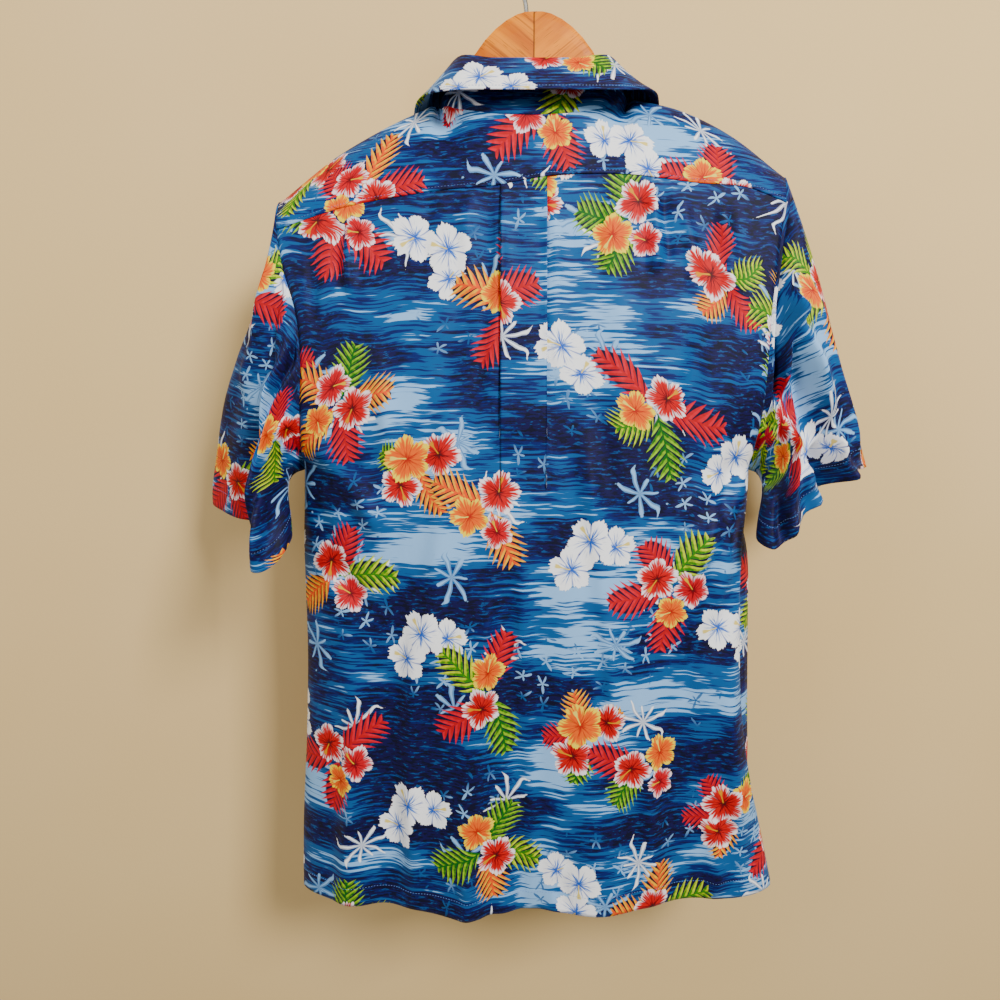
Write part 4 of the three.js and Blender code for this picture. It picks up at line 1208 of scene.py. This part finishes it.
def weave_group():
    """Height of the cloth's surface: fine threads and small soft creases, and puckers where it is sewn."""
    inputs = [
        ("Coordinates", "Vector", (0, 0, 0)),
        ("Threads", "Float", 0.00032),
        ("Sewn", "Float", 0.0),
    ]

    def build(net, ins):
        at = ins["Coordinates"]
        x, y, _ = net.split(at)
        cycles = net.math("DIVIDE", 2 * math.pi, ins["Threads"])
        warp = net.math("SINE", net.mul(x, cycles))
        weft = net.math("SINE", net.mul(y, cycles))
        threads = net.mul(net.mul(warp, weft), 0.02)
        soft = net.noise(net.vector("MULTIPLY", at, (45.0, 18.0, 1.0)), 1.0, 3.0)
        fine = net.mul(net.noise(at, 130.0, 2.0), 0.14)
        pucker = net.noise(net.vector("MULTIPLY", at, (150.0, 24.0, 1.0)), 1.0, 1.0)
        pucker = net.mul(pucker, net.mul(ins["Sewn"], 0.9))
        height = net.add(net.add(net.add(threads, soft), fine), pucker)
        return {"Height": height}

    return node_group("Woven surface", inputs, [("Height", "Float")], build)


def new_material(name):
    made = bpy.data.materials.new(name)
    made.use_nodes = True
    shader = made.node_tree.nodes["Principled BSDF"]
    return made, Net(made.node_tree), shader


def fix(shader, **values):
    """Sets constants on a shader's own sockets."""
    for name, value in values.items():
        shader.inputs[name.replace("_", " ")].default_value = value


def roughen(net, shader, height, strength, distance):
    """Feeds a height to a shader's normal through a bump."""
    bump = net.node("ShaderNodeBump", Strength=strength, Distance=distance, Height=height)
    net.feed(shader.inputs["Normal"], bump.outputs["Normal"])


def cloth_materials(facts):
    """Right side and wrong side of the printed cloth."""
    printed, woven = print_group(), weave_group()
    tones = {name: tuple(getattr(facts, name.lower())) for name in TONES}
    for name, paler, rough in (("Printed cloth", 0.0, 0.62), ("Cloth wrong side", 0.5, 0.75)):
        _, net, shader = new_material(name)
        at = net.node("ShaderNodeUVMap", {"uv_map": "Cloth"}).outputs[0]
        shown = net.group(printed, Coordinates=at, **tones)["Color"]
        net.feed(shader.inputs["Base Color"], net.mix(paler, shown, colour("b9c4d8")))
        fix(shader, Roughness=rough, Specular_IOR_Level=0.2, Sheen_Weight=0.04, Sheen_Roughness=0.4)
        sewn = net.node("ShaderNodeAttribute", {"attribute_name": "Sewn"}).outputs["Fac"]
        height = net.group(woven, Coordinates=at, Threads=facts.thread, Sewn=sewn)["Height"]
        roughen(net, shader, height, 0.5, 0.0011)


# Pieces

# Rough sizes of the panels, which set how many points they get
HALF_BACK, BACK_LENGTH = 235, 735
HALF_YOKE, YOKE_LENGTH = 250, 120
FRONT_WIDTH, FRONT_LENGTH = 262, 760
HALF_SLEEVE, SLEEVE_LENGTH = 250, 300
COLLAR_BACK, COLLAR_FRONT = 105, 115
# Depth of a hem, the gap inside it, and how far stitches run from a hem's edge and from a plain one
HEM_DEPTH = 21
HEM_GAP = 0.75
HEM_LINE = 20.5
EDGE_LINE = 5
# Pitch and length of the stitches, how far a bead of thread stands out and sinks in, and a pucker's reach
STITCH = (3.0, 2.3)
BEAD_OUT, BEAD_IN = 0.5, 0.3
PUCKER = 9
# Where each piece lies on the printed cloth
PRINT_AT = {
    "back_cloth": (0, 0),
    "yoke_cloth": (37, 905),
    "front_left_cloth": (612, 40),
    "front_right_cloth": (1490, 17),
    "sleeve_left_cloth": (2210, 300),
    "sleeve_right_cloth": (2890, 520),
    "collar_cloth": (4100, 610),
}


def length_property(name, description, default):
    return bpy.props.FloatProperty(name=name, description=description, default=default, unit="LENGTH")


def colour_property(name, description, hexed):
    return bpy.props.FloatVectorProperty(
        name=name, description=description, default=colour(hexed), subtype="COLOR", size=4
    )


class SHIRT_PG_cloth(bpy.types.PropertyGroup):
    """Sizes and colours of the cloth."""

    thickness: length_property("Thickness", "Thickness of the cloth", 0.0005)
    step: length_property("Mesh step", "Spacing of the cloth's points", 0.0036)
    hem: length_property("Hem", "Depth of the folded hems", HEM_DEPTH * MM)
    thread: length_property("Thread", "Spacing of the woven threads", 0.00064)
    deep: colour_property("Deep", *TONES["Deep"])
    royal: colour_property("Royal", *TONES["Royal"])
    bright: colour_property("Bright", *TONES["Bright"])
    pale: colour_property("Pale", *TONES["Pale"])
    white: colour_property("White", *TONES["White"])


def cloth_facts():
    return bpy.context.scene.shirt_cloth


def dress(made, two_sided):
    """Gives a piece the cloth's right side outside, and inside the wrong side or the right one again."""
    if "Printed cloth" not in bpy.data.materials:
        cloth_materials(cloth_facts())
    for name in ("Printed cloth", "Printed cloth" if two_sided else "Cloth wrong side"):
        made.data.materials.append(bpy.data.materials[name])


def counted(length):
    """How many points a length in millimetres gets."""
    return max(2, round(length * MM / cloth_facts().step))


def outward_normals(grid, outward, looped=False):
    """Normals of a grid on its right side."""
    normals = grid_normals(grid, looped)
    return -normals if (normals * outward(grid)).sum() < 0 else normals


def line_across(grid, normals, base, distance):
    """Points and normals of a line across a grid, at a distance past one of its rows in millimetres."""
    run = arc(grid, 0)
    runs_down = (run - run[base : base + 1]).T

    def at_distance(layer):
        return np.array(
            [
                [np.interp(distance, down, layer[:, j, k]) for k in range(3)]
                for j, down in enumerate(runs_down)
            ]
        )

    return at_distance(grid), at_distance(normals)


def sew(name, lines, wide=0.26):
    """Rows of small stitches along lines of points and normals, as one mesh of slim beads of thread."""
    beads = []
    for points, normals, *sizes in lines:
        pitch, long = sizes or STITCH
        run = np.r_[0, np.cumsum(np.linalg.norm(np.diff(points, axis=0), axis=1))]
        starts = np.arange(pitch / 2, run[-1] - pitch / 2, pitch)

        def at(t, values):
            return np.stack([np.interp(t, run, values[:, k]) for k in range(3)], axis=-1)

        middle = at(starts, points)
        back, ahead = at(starts - long / 2, points), at(starts + long / 2, points)
        up = unit(at(starts, normals))
        across = unit(np.cross(ahead - back, up)) * wide
        ring = [middle + across, middle + up * BEAD_OUT, middle - across, middle - up * BEAD_IN]
        beads.append(np.stack([back, ahead, *ring], axis=1))
    beads = np.concatenate(beads)
    near_end = [(0, 2 + i, 2 + (i + 1) % 4) for i in range(4)]
    far_end = [(1, 2 + (i + 1) % 4, 2 + i) for i in range(4)]
    faces = np.array(near_end + far_end)[None] + 6 * np.arange(len(beads))[:, None, None]
    made = new_object(name, beads.reshape(-1, 3), faces.reshape(-1, 3))
    made.data.materials.append(thread_material())
    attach(made, "root")
    return made


def thread_material():
    """Twisted sewing thread."""
    if "Sewing thread" not in bpy.data.materials:
        _, net, shader = new_material("Sewing thread")
        at = net.node("ShaderNodeTexCoord").outputs["Object"]
        ply = net.noise(at, 2400.0, 1.0, 0.5, "3D")
        net.feed(shader.inputs["Base Color"], net.mix(ply, colour("3c62b0"), colour("8fb0e4")))
        fix(shader, Roughness=0.6)
        roughen(net, shader, ply, 0.4, 0.0002)
    return bpy.data.materials["Sewing thread"]


def make_piece(name, nodes, grid, uv, outward, seams, lines, looped=False, layers=1, two_sided=False):
    """Makes a piece of cloth in place of its nodes: its sheet, its stitches along lines, and its cut."""
    made = cloth_mesh(name, grid, uv, outward, sewn_marks(seams), looped)
    finish_cloth(made, layers * cloth_facts().thickness, nodes)
    dress(made, two_sided)
    sew(name.replace("cloth", "stitches"), lines)


def hemmed(grid, outward, looped=False):
    """Carries a grid on past its last row: round the fold of a hem and up inside."""
    normals = outward_normals(grid, outward, looped)
    run = arc(grid, 0)
    step = float((run[-1] - run[-2]).mean())
    count = max(2, round(cloth_facts().hem / MM / step))
    inner = [grid[-1 - i] - normals[-1 - i] * HEM_GAP * min(1, 0.5 + i) for i in range(count + 1)]
    return np.concatenate([grid, np.array(inner)], axis=0)


# Directions that the right side of a panel faces on the whole, from its points


def backward(_):
    return np.array([0, 1.0, 0])


def forward(_):
    return np.array([0, -1.0, 0])


def off_shoulders(p):
    return p - np.array([0, -5, -290])


def sewn_marks(distances):
    """1 at a seam, falling off over its puckers; distances are from the seams in millimetres."""
    near = np.min(np.abs(np.array(distances)), axis=0)
    return np.exp(-((near / PUCKER) ** 2))


class SHIRT_OT_back(bpy.types.Operator):
    """Makes the back with its box pleat"""

    bl_idname = "shirt.back"
    bl_label = "Back"

    def execute(self, context):
        at = np.r_[
            np.linspace(-1, 0, 6)[:-1],
            np.linspace(0, 6, 13)[:-1],
            np.linspace(6, 7, counted(HALF_BACK)),
        ]
        side = np.r_[np.full(len(at), RIGHT), np.full(len(at) - 1, LEFT)]
        at = np.r_[at[::-1], at[1:]]
        base = counted(BACK_LENGTH) + 1
        t = np.linspace(0, 1, base - 1)[:, None]
        x_top = np.clip(back_point(side, at, SEAM_HEIGHT)[:, 0], -YOKE_RIGHT, YOKE_LEFT)
        top = (yoke_seam_z(x_top) - SEAM_GAP)[None]
        grid = back_point(side[None], at[None], mix(top, HEM_Z, t))
        tucked = grid[0] + np.array([0, -4.0, 8.0])
        grid = np.concatenate([tucked[None], grid[:1] + np.array([0, -2.2, 2.0]), grid])
        hem_line = line_across(grid, outward_normals(grid, backward), base, -HEM_LINE)
        grid = hemmed(grid, backward)
        uv = cloth_uv(grid, len(at) // 2, base, PRINT_AT["back_cloth"])
        run = arc(grid, 0)
        seams = [run - run[2:3], run - run[base : base + 1] + HEM_DEPTH]
        make_piece("back_cloth", ["back"], grid, uv, backward, seams, [hem_line])
        return {"FINISHED"}


class SHIRT_OT_yoke(bpy.types.Operator):
    """Makes the yoke over the shoulders"""

    bl_idname = "shirt.yoke"
    bl_label = "Yoke"

    def execute(self, context):
        share = np.linspace(-1, 1, 2 * counted(HALF_YOKE) + 1)
        over = np.linspace(0, 1, counted(YOKE_LENGTH))
        grid = yoke_point(*np.meshgrid(share, over))
        over_pleat = np.exp(-(((grid[0, :, 0] - PLEAT_CENTRE) / 30) ** 6))[:, None]
        proud = np.array([0, 1.0, 0]) * (0.7 + 0.9 * over_pleat)
        lap = grid[0] + proud + np.array([0, 0.1, -1.8])
        grid = np.concatenate([lap[None], grid[:1] + proud, grid[1:2] + 0.5 * proud, grid[2:]])
        end = grid[-1] + unit(grid[-1] - grid[-2]) * 2.2
        grid = np.concatenate([grid, end[None]])
        seam_line = line_across(grid, outward_normals(grid, off_shoulders), 0, 3.4)
        middle, lies_at = len(share) // 2, PRINT_AT["yoke_cloth"]
        uv = cloth_uv(grid, middle, 0, lies_at)
        seam_rise = grid[:1, :, 2] - grid[0, middle, 2]
        uv[..., 1] = 2 * lies_at[1] - uv[..., 1] + seam_rise
        run = arc(grid, 0)
        make_piece("yoke_cloth", ["yoke"], grid, uv, off_shoulders, [run, run - run[-1:]], [seam_line])
        return {"FINISHED"}


def button_place(i):
    """Point of the left front's cloth under a button."""
    z = BUTTON["top"] - i * BUTTON["pitch"]
    share = OVERLAP / (OVERLAP + body["left"](z))
    top = front_top(LEFT, np.array([share]))[0, 2]
    return front_point(LEFT, np.array([share]), np.array([(top - z) / (top - HEM_Z)]))[0]


def buttonholes():
    """Closed lines of close stitches, upright on the left front, round the slits of the buttonholes."""
    turn = np.linspace(0, 2 * math.pi, 33)
    made = []
    for i in range(BUTTON["count"]):
        middle = button_place(i) + np.array([0, -0.15, 0])
        points = middle + vec(BUTTONHOLE[0] * np.cos(turn), 0, BUTTONHOLE[1] * np.sin(turn))
        made.append((points, np.tile([0, -1.0, 0], (len(turn), 1)), 0.62, 0.9))
    return made


class SHIRT_OT_fronts(bpy.types.Operator):
    """Makes both fronts, the left one lapping over the right one"""

    bl_idname = "shirt.fronts"
    bl_label = "Fronts"

    def execute(self, context):
        share = np.linspace(0, 1, counted(FRONT_WIDTH))
        down = np.linspace(0, 1, counted(FRONT_LENGTH))
        base = len(down)
        for side, name in ((LEFT, "front_left_cloth"), (RIGHT, "front_right_cloth")):
            grid = front_point(side, *np.meshgrid(share, down))
            tucked = grid[0] + (grid[0] - grid[1]) * 0.6 + np.array([0, 1.6, 0])
            grid = np.concatenate([tucked[None], grid])
            normals = outward_normals(grid, forward)
            turned, turned_normals = (layer[1:].transpose(1, 0, 2) for layer in (grid, normals))
            lines = [
                line_across(grid, normals, base, -HEM_LINE),
                line_across(turned, turned_normals, 0, EDGE_LINE),
            ]
            if side == LEFT:
                lines.extend(buttonholes())
            grid = hemmed(grid, forward)
            lies_at = PRINT_AT[name]
            uv = cloth_uv(grid, 0, base, lies_at)
            uv[..., 0] = lies_at[0] + side * (uv[..., 0] - lies_at[0])
            run = arc(grid, 0)
            seams = [run, run - run[base : base + 1] + HEM_DEPTH]
            make_piece(name, [name.replace("_cloth", "")], grid, uv, forward, seams, lines)
        return {"FINISHED"}


class SHIRT_OT_sleeves(bpy.types.Operator):
    """Makes both sleeves with their folded hems"""

    bl_idname = "shirt.sleeves"
    bl_label = "Sleeves"

    def execute(self, context):
        shares = np.linspace(0, 1, 2 * counted(HALF_SLEEVE), endpoint=False)
        downs = np.linspace(0, 1, counted(SLEEVE_LENGTH))
        for side, name, nodes in (
            (LEFT, "sleeve_left_cloth", ["sleeve_left_back", "sleeve_left_front"]),
            (RIGHT, "sleeve_right_cloth", ["sleeve_right"]),
        ):
            grid = sleeve_grid(side, shares, downs)
            inward = unit(grid[0].mean(axis=0) - grid[0])
            tucked = grid[0] + np.array([-side * 5.0, 0, 0]) + inward * 1.6
            near = grid[0] + np.array([-side * 1.4, 0, 0]) + inward * 0.9
            grid = np.concatenate([tucked[None], near[None], grid])
            base = len(grid) - 1
            middles = grid.mean(axis=1, keepdims=True)
            normals = outward_normals(grid, lambda p: p - middles, looped=True)
            hem_line = line_across(grid, normals, base, -HEM_LINE)
            grid = hemmed(grid, lambda p: p - middles, looped=True)
            centre = grid[: base + 1].reshape(-1, 3).mean(axis=0)
            run = arc(grid, 0)
            make_piece(
                name,
                nodes,
                grid,
                looped_uv(grid, base, PRINT_AT[name]),
                outward=lambda p: (p - centre) * np.array([1, 1, 0]),
                seams=[run - run[2:3], run - run[base : base + 1] + HEM_DEPTH],
                lines=[hem_line],
                looped=True,
            )
        return {"FINISHED"}


def collar_shares():
    """Half a collar's columns: how far along it each is, and the share of the neck edge it is sewn to."""
    back = np.linspace(0, NECK_POINT, counted(COLLAR_BACK))
    front = np.linspace(NECK_POINT, COLLAR_END, counted(COLLAR_FRONT))[1:]
    along_back = 0.46 * back / NECK_POINT
    along_front = mix(1, 0.46, (front - COLLAR_END) / (NECK_POINT - COLLAR_END))
    return back, along_back, front, along_front


def collar_lines(side):
    """Lines along half a collar, from inside its seam over the fold to its edge."""
    back, along_back, front, along_front = collar_shares()
    seam = np.concatenate([yoke_edge(side, back), front_top(side, front)])
    share = np.r_[along_back, along_front]
    lift = collar["rise"](share) if side == RIGHT else 0 * share
    fold_z = collar["fold_z"](share) + 0.4 * lift
    fold = vec(side * collar["fold_x"](share), collar["fold_y"](share), fold_z)
    wide = collar["edge_x"](share) + (collar["out"](share) if side == RIGHT else 0)
    edge = vec(side * wide, collar["edge_y"](share), collar["edge_z"](share) + lift)
    stand = unit(fold - seam)
    start = seam + stand * (SETBACK + 0.4)
    flat = edge - fold
    flat[..., 2] = 0
    out = unit(flat) * FOLD_WIDTH
    drop = np.array([0, 0, -4.0])
    inside, outside, crown = fold - 0.2 * out + drop, fold + out + drop, fold + 0.35 * out
    tucked = seam - stand * 5 - out * 0.25
    return tucked, start, inside, crown, outside, edge


def collar_outward(p):
    """Away from the neck on the fall and nothing on the stand, near enough to tell the two sides apart."""
    away = p - np.array([0, -20, 0])
    away[..., 2] = 0
    reach = np.linalg.norm(away, axis=-1, keepdims=True)
    return away * (reach > 62)


class SHIRT_OT_collar(bpy.types.Operator):
    """Makes the one-piece collar"""

    bl_idname = "shirt.collar"
    bl_label = "Collar"

    def execute(self, context):
        knots = np.array([0, 0.09, 0.44, 0.5, 0.56, 1.0])
        t = np.r_[
            np.linspace(0, 0.44, 14)[:-1],
            np.linspace(0.44, 0.56, 9)[:-1],
            np.linspace(0.56, 1, 14),
        ]
        halves = []
        for side in (LEFT, RIGHT):
            flat = np.array(collar_lines(side)).reshape(len(knots), -1)
            curves = [through(knots, flat[:, k]) for k in range(flat.shape[1])]
            halves.append(np.stack([c(t) for c in curves], axis=-1).reshape(len(t), -1, 3))
        grid = np.concatenate([halves[0][:, ::-1], halves[1][:, 1:]], axis=1)
        edge = line_across(grid, outward_normals(grid, collar_outward), len(grid) - 1, -EDGE_LINE)
        past_fold = 20
        uv = cloth_uv(grid, grid.shape[1] // 2, past_fold, PRINT_AT["collar_cloth"])
        run = arc(grid, 0)
        make_piece(
            "collar_cloth",
            ["collar"],
            grid,
            uv,
            collar_outward,
            seams=[run - run[-1:]],
            lines=[edge],
            layers=2.2,
            two_sided=True,
        )
        return {"FINISHED"}


def paint(node, material):
    """Gives a node of the frame its one material."""
    node.data.materials.clear()
    node.data.materials.append(material)


def varnished_wood(name, lean):
    """Straight-grained wood under a thin varnish, its grain leaning one way or the other."""
    material, net, shader = new_material(name)
    at = net.node("ShaderNodeTexCoord").outputs["Object"]
    x, _, _ = net.split(at)
    turned = net.node("ShaderNodeVectorRotate", {"rotation_type": "Y_AXIS"}, Vector=at)
    turned.inputs["Angle"].default_value = lean * math.radians(38)
    grain = net.vector("MULTIPLY", turned.outputs[0], (7.0, 40.0, 150.0))
    broad = net.noise(net.vector("MULTIPLY", grain, (1.0, 1.0, 0.4)), 1.0, 3.0, 0.55, "3D")
    lines = net.noise(net.vector("MULTIPLY", grain, (1.2, 1.0, 3.0)), 1.0, 2.0, 0.6, "3D")
    pores = net.noise(net.vector("MULTIPLY", grain, (9.0, 8.0, 9.0)), 1.0, 1.0, 0.5, "3D")
    made = net.mix(net.step(broad, 0.3, 0.7), colour("c86206"), colour("f8920c"))
    made = net.mix(net.mul(net.step(lines, 0.52, 0.68), 0.55), made, colour("8a3c08"))
    made = net.mix(net.mul(net.step(pores, 0.66, 0.72), 0.5), made, colour("4a2006"))
    joint = net.step(net.math("ABSOLUTE", x), 0.0011, 0.0004)
    made = net.mix(net.mul(joint, 0.6), made, colour("4a2006"))
    net.feed(shader.inputs["Base Color"], made)
    net.feed(shader.inputs["Roughness"], net.step(lines, 0.3, 0.8, (0.4, 0.55)))
    fix(shader, Specular_IOR_Level=0.2, Coat_Weight=0.04, Coat_Roughness=0.35)
    roughen(net, shader, lines, 0.25, 0.0004)
    return material


def hook_metal():
    """Drawn wire: fine lines in its colour and its gloss."""
    material, net, shader = new_material("Hook metal")
    at = net.node("ShaderNodeTexCoord").outputs["Object"]
    drawn = net.noise(net.vector("MULTIPLY", at, (900.0, 900.0, 60.0)), 1.0, 2.0, 0.5, "3D")
    net.feed(shader.inputs["Base Color"], net.mix(drawn, colour("85837c"), colour("c4c2bb")))
    fix(shader, Metallic=1.0)
    net.feed(shader.inputs["Roughness"], net.step(drawn, 0.2, 0.8, (0.26, 0.42)))
    return material


def button_plastic():
    """Cloudy plastic with four holes in each button, sunk by a bump, their dark colour painted shade."""
    material, net, shader = new_material("Button plastic")
    at = net.node("ShaderNodeTexCoord").outputs["Object"]
    cloudy = net.noise(at, 260.0, 3.0, 0.6, "3D")
    net.feed(shader.inputs["Roughness"], net.step(cloudy, 0.2, 0.8, (0.2, 0.34)))
    x, _, z = net.split(at)
    pitch = BUTTON["pitch"] * MM
    row = net.math("DIVIDE", net.sub(z, BUTTON["top"] * MM - pitch / 2), pitch)
    up = net.math("ABSOLUTE", net.mul(net.sub(net.math("FRACT", row), 0.5), pitch))
    across = net.math("ABSOLUTE", x)
    from_hole = net.vector(
        "LENGTH", net.join(net.sub(across, HOLE_AT * MM), net.sub(up, HOLE_AT * MM))
    )
    # Four dots for the holes: the bump below sinks them, and the dark colour they get is painted shade.
    hole_and_painted_shade = net.step(from_hole, 0.001, 0.0008)
    made = net.mix(cloudy, colour("d9d0b8"), colour("f3ecdb"))
    net.feed(shader.inputs["Base Color"], net.mix(hole_and_painted_shade, made, colour("2a2418")))
    roughen(net, shader, net.sub(1.0, hole_and_painted_shade), 1.0, 0.0008)
    return material


# How far the button threads lie from the cloth past the button's thickness, and where the strands run
THREAD_PROUD = 1.3
STRANDS = (-0.35, 0.35)


def button_threads(i):
    """Lines of thread over a button, two upright strands through each pair of holes."""
    face = button_place(i)[1] - BUTTON["thickness"] - THREAD_PROUD
    z = BUTTON["top"] - i * BUTTON["pitch"]
    made = []
    for side in (LEFT, RIGHT):
        for shift in STRANDS:
            points = vec(side * HOLE_AT + shift, face, z + np.linspace(-HOLE_AT - 0.5, HOLE_AT + 0.5, 5))
            made.append((points, np.tile([0, -1.0, 0], (5, 1)), 3.4, 3.6))
    return made


class SHIRT_OT_hanger(bpy.types.Operator):
    """Gives the hanger its wood and its hook its metal"""

    bl_idname = "shirt.hanger"
    bl_label = "Hanger"

    def execute(self, context):
        for side, lean in (("left", 1), ("right", -1)):
            paint(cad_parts[f"hanger_{side}"], varnished_wood(f"Varnished wood {side}", lean))
        paint(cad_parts["hanger_hook"], hook_metal())
        return {"FINISHED"}


class SHIRT_OT_buttons(bpy.types.Operator):
    """Gives the buttons their plastic and their thread"""

    bl_idname = "shirt.buttons"
    bl_label = "Buttons"

    def execute(self, context):
        plastic = button_plastic()
        lines = []
        for i in range(BUTTON["count"]):
            paint(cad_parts[f"button_{i + 1}"], plastic)
            lines.extend(button_threads(i))
        sew("button_threads", lines, wide=0.3)
        return {"FINISHED"}


# The wall: its plane, width, height and middle
WALL_Y, WALL_WIDE, WALL_HIGH, WALL_MIDDLE = -0.15, 6.0, 4.8, -0.2
# Lights: where each stands, its size, and its share of the main light's power. All aim at one point.
LIGHTS = {
    "key": ((-1.0, 1.75, 0.7), 0.6, 1.0),
    "fill": ((1.2, 1.1, 0.2), 0.8, 0.15),
    "front": ((0.4, -1.6, 0.6), 1.4, 0.2),
}
LIGHTS_AIM = (0, 0, -0.5)
CAMERA_AT, CAMERA_TILT, LENS, SENSOR = (0.032, 0.740, -0.427), 82, 26, 36


class SHIRT_PG_stage(bpy.types.PropertyGroup):
    """Wall and light."""

    wall: colour_property("Wall", "Colour of the wall", "eac582")
    key: bpy.props.FloatProperty(
        name="Key light", description="Power of the main light", default=68.0, unit="POWER"
    )


def make_wall(wall_tone):
    """A wall behind the shirt, seen from its front alone."""
    bpy.ops.object.select_all(action="DESELECT")
    bpy.ops.mesh.primitive_plane_add(
        size=1, location=(0, WALL_Y, WALL_MIDDLE), rotation=(math.radians(-90), 0, 0)
    )
    wall = bpy.context.object
    wall.name = wall.data.name = "wall"
    wall.scale = (WALL_WIDE, WALL_HIGH, 1)
    bpy.ops.object.transform_apply(location=True, rotation=True, scale=True)
    wall.select_set(False)
    material, net, shader = new_material("Wall paint")
    at = net.node("ShaderNodeTexCoord").outputs["Object"]
    mottled = net.noise(at, 3.0, 2.0, 0.5, "3D")
    net.feed(shader.inputs["Base Color"], net.mix(mottled, wall_tone, colour("f0ce92")))
    fix(shader, Roughness=0.9)
    roughen(net, shader, net.noise(at, 350.0, 2.0, 0.5, "3D"), 0.1, 0.001)
    behind = net.node("ShaderNodeNewGeometry").outputs["Backfacing"]
    net.feed(shader.inputs["Alpha"], net.sub(1.0, behind))
    wall.data.materials.append(material)


def make_light(name, stands_at, size, power):
    data = bpy.data.lights.new(name, "AREA")
    data.size, data.energy = size, power
    lamp = bpy.data.objects.new(name, data)
    lamp.location = stands_at
    x, y, z = np.array(LIGHTS_AIM, float) - np.array(stands_at, float)
    lamp.rotation_euler = (math.atan2(math.hypot(x, y), -z), 0, math.atan2(y, x) - math.pi / 2)
    bpy.context.scene.collection.objects.link(lamp)


def make_camera(scene):
    data = bpy.data.cameras.new("camera")
    data.lens, data.sensor_width = LENS, SENSOR
    camera = bpy.data.objects.new("camera", data)
    camera.location = CAMERA_AT
    camera.rotation_euler = (math.radians(CAMERA_TILT), 0, math.radians(180))
    scene.collection.objects.link(camera)
    scene.camera = camera


class SHIRT_OT_stage(bpy.types.Operator):
    """Makes the wall, the lights and the camera"""

    bl_idname = "shirt.stage"
    bl_label = "Stage"

    def execute(self, context):
        facts = context.scene.shirt_stage
        make_wall(tuple(facts.wall))
        for name, (stands_at, size, share) in LIGHTS.items():
            make_light(name, stands_at, size, facts.key * share)
        world = bpy.data.worlds.new("Room")
        world.use_nodes = True
        room_light = world.node_tree.nodes["Background"]
        room_light.inputs["Color"].default_value = colour("e9e4da")
        room_light.inputs["Strength"].default_value = 0.42
        context.scene.world = world
        make_camera(context.scene)
        return {"FINISHED"}


class SHIRT_PT_panel(bpy.types.Panel):
    """Lists the pieces of the shirt"""

    bl_idname = "SHIRT_PT_panel"
    bl_label = "Printed shirt"
    bl_space_type = "VIEW_3D"
    bl_region_type = "UI"
    bl_category = "Shirt"

    def draw(self, context):
        for group in (context.scene.shirt_cloth, context.scene.shirt_stage):
            for name in group.__annotations__:
                self.layout.prop(group, name)
        for operator in OPERATORS:
            self.layout.operator(operator.bl_idname)


OPERATORS = (
    SHIRT_OT_stage,
    SHIRT_OT_back,
    SHIRT_OT_yoke,
    SHIRT_OT_fronts,
    SHIRT_OT_sleeves,
    SHIRT_OT_collar,
    SHIRT_OT_hanger,
    SHIRT_OT_buttons,
)
CLASSES = (SHIRT_PG_cloth, SHIRT_PG_stage, *OPERATORS, SHIRT_PT_panel)


def register():
    for made in CLASSES:
        bpy.utils.register_class(made)
    bpy.types.Scene.shirt_cloth = bpy.props.PointerProperty(type=SHIRT_PG_cloth)
    bpy.types.Scene.shirt_stage = bpy.props.PointerProperty(type=SHIRT_PG_stage)


def unregister():
    del bpy.types.Scene.shirt_cloth
    del bpy.types.Scene.shirt_stage
    for made in reversed(CLASSES):
        bpy.utils.unregister_class(made)


def main():
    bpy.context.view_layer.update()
    register()
    for operator in OPERATORS:
        group, name = operator.bl_idname.split(".")
        getattr(getattr(bpy.ops, group), name)()


if __name__ == "__main__":
    main()
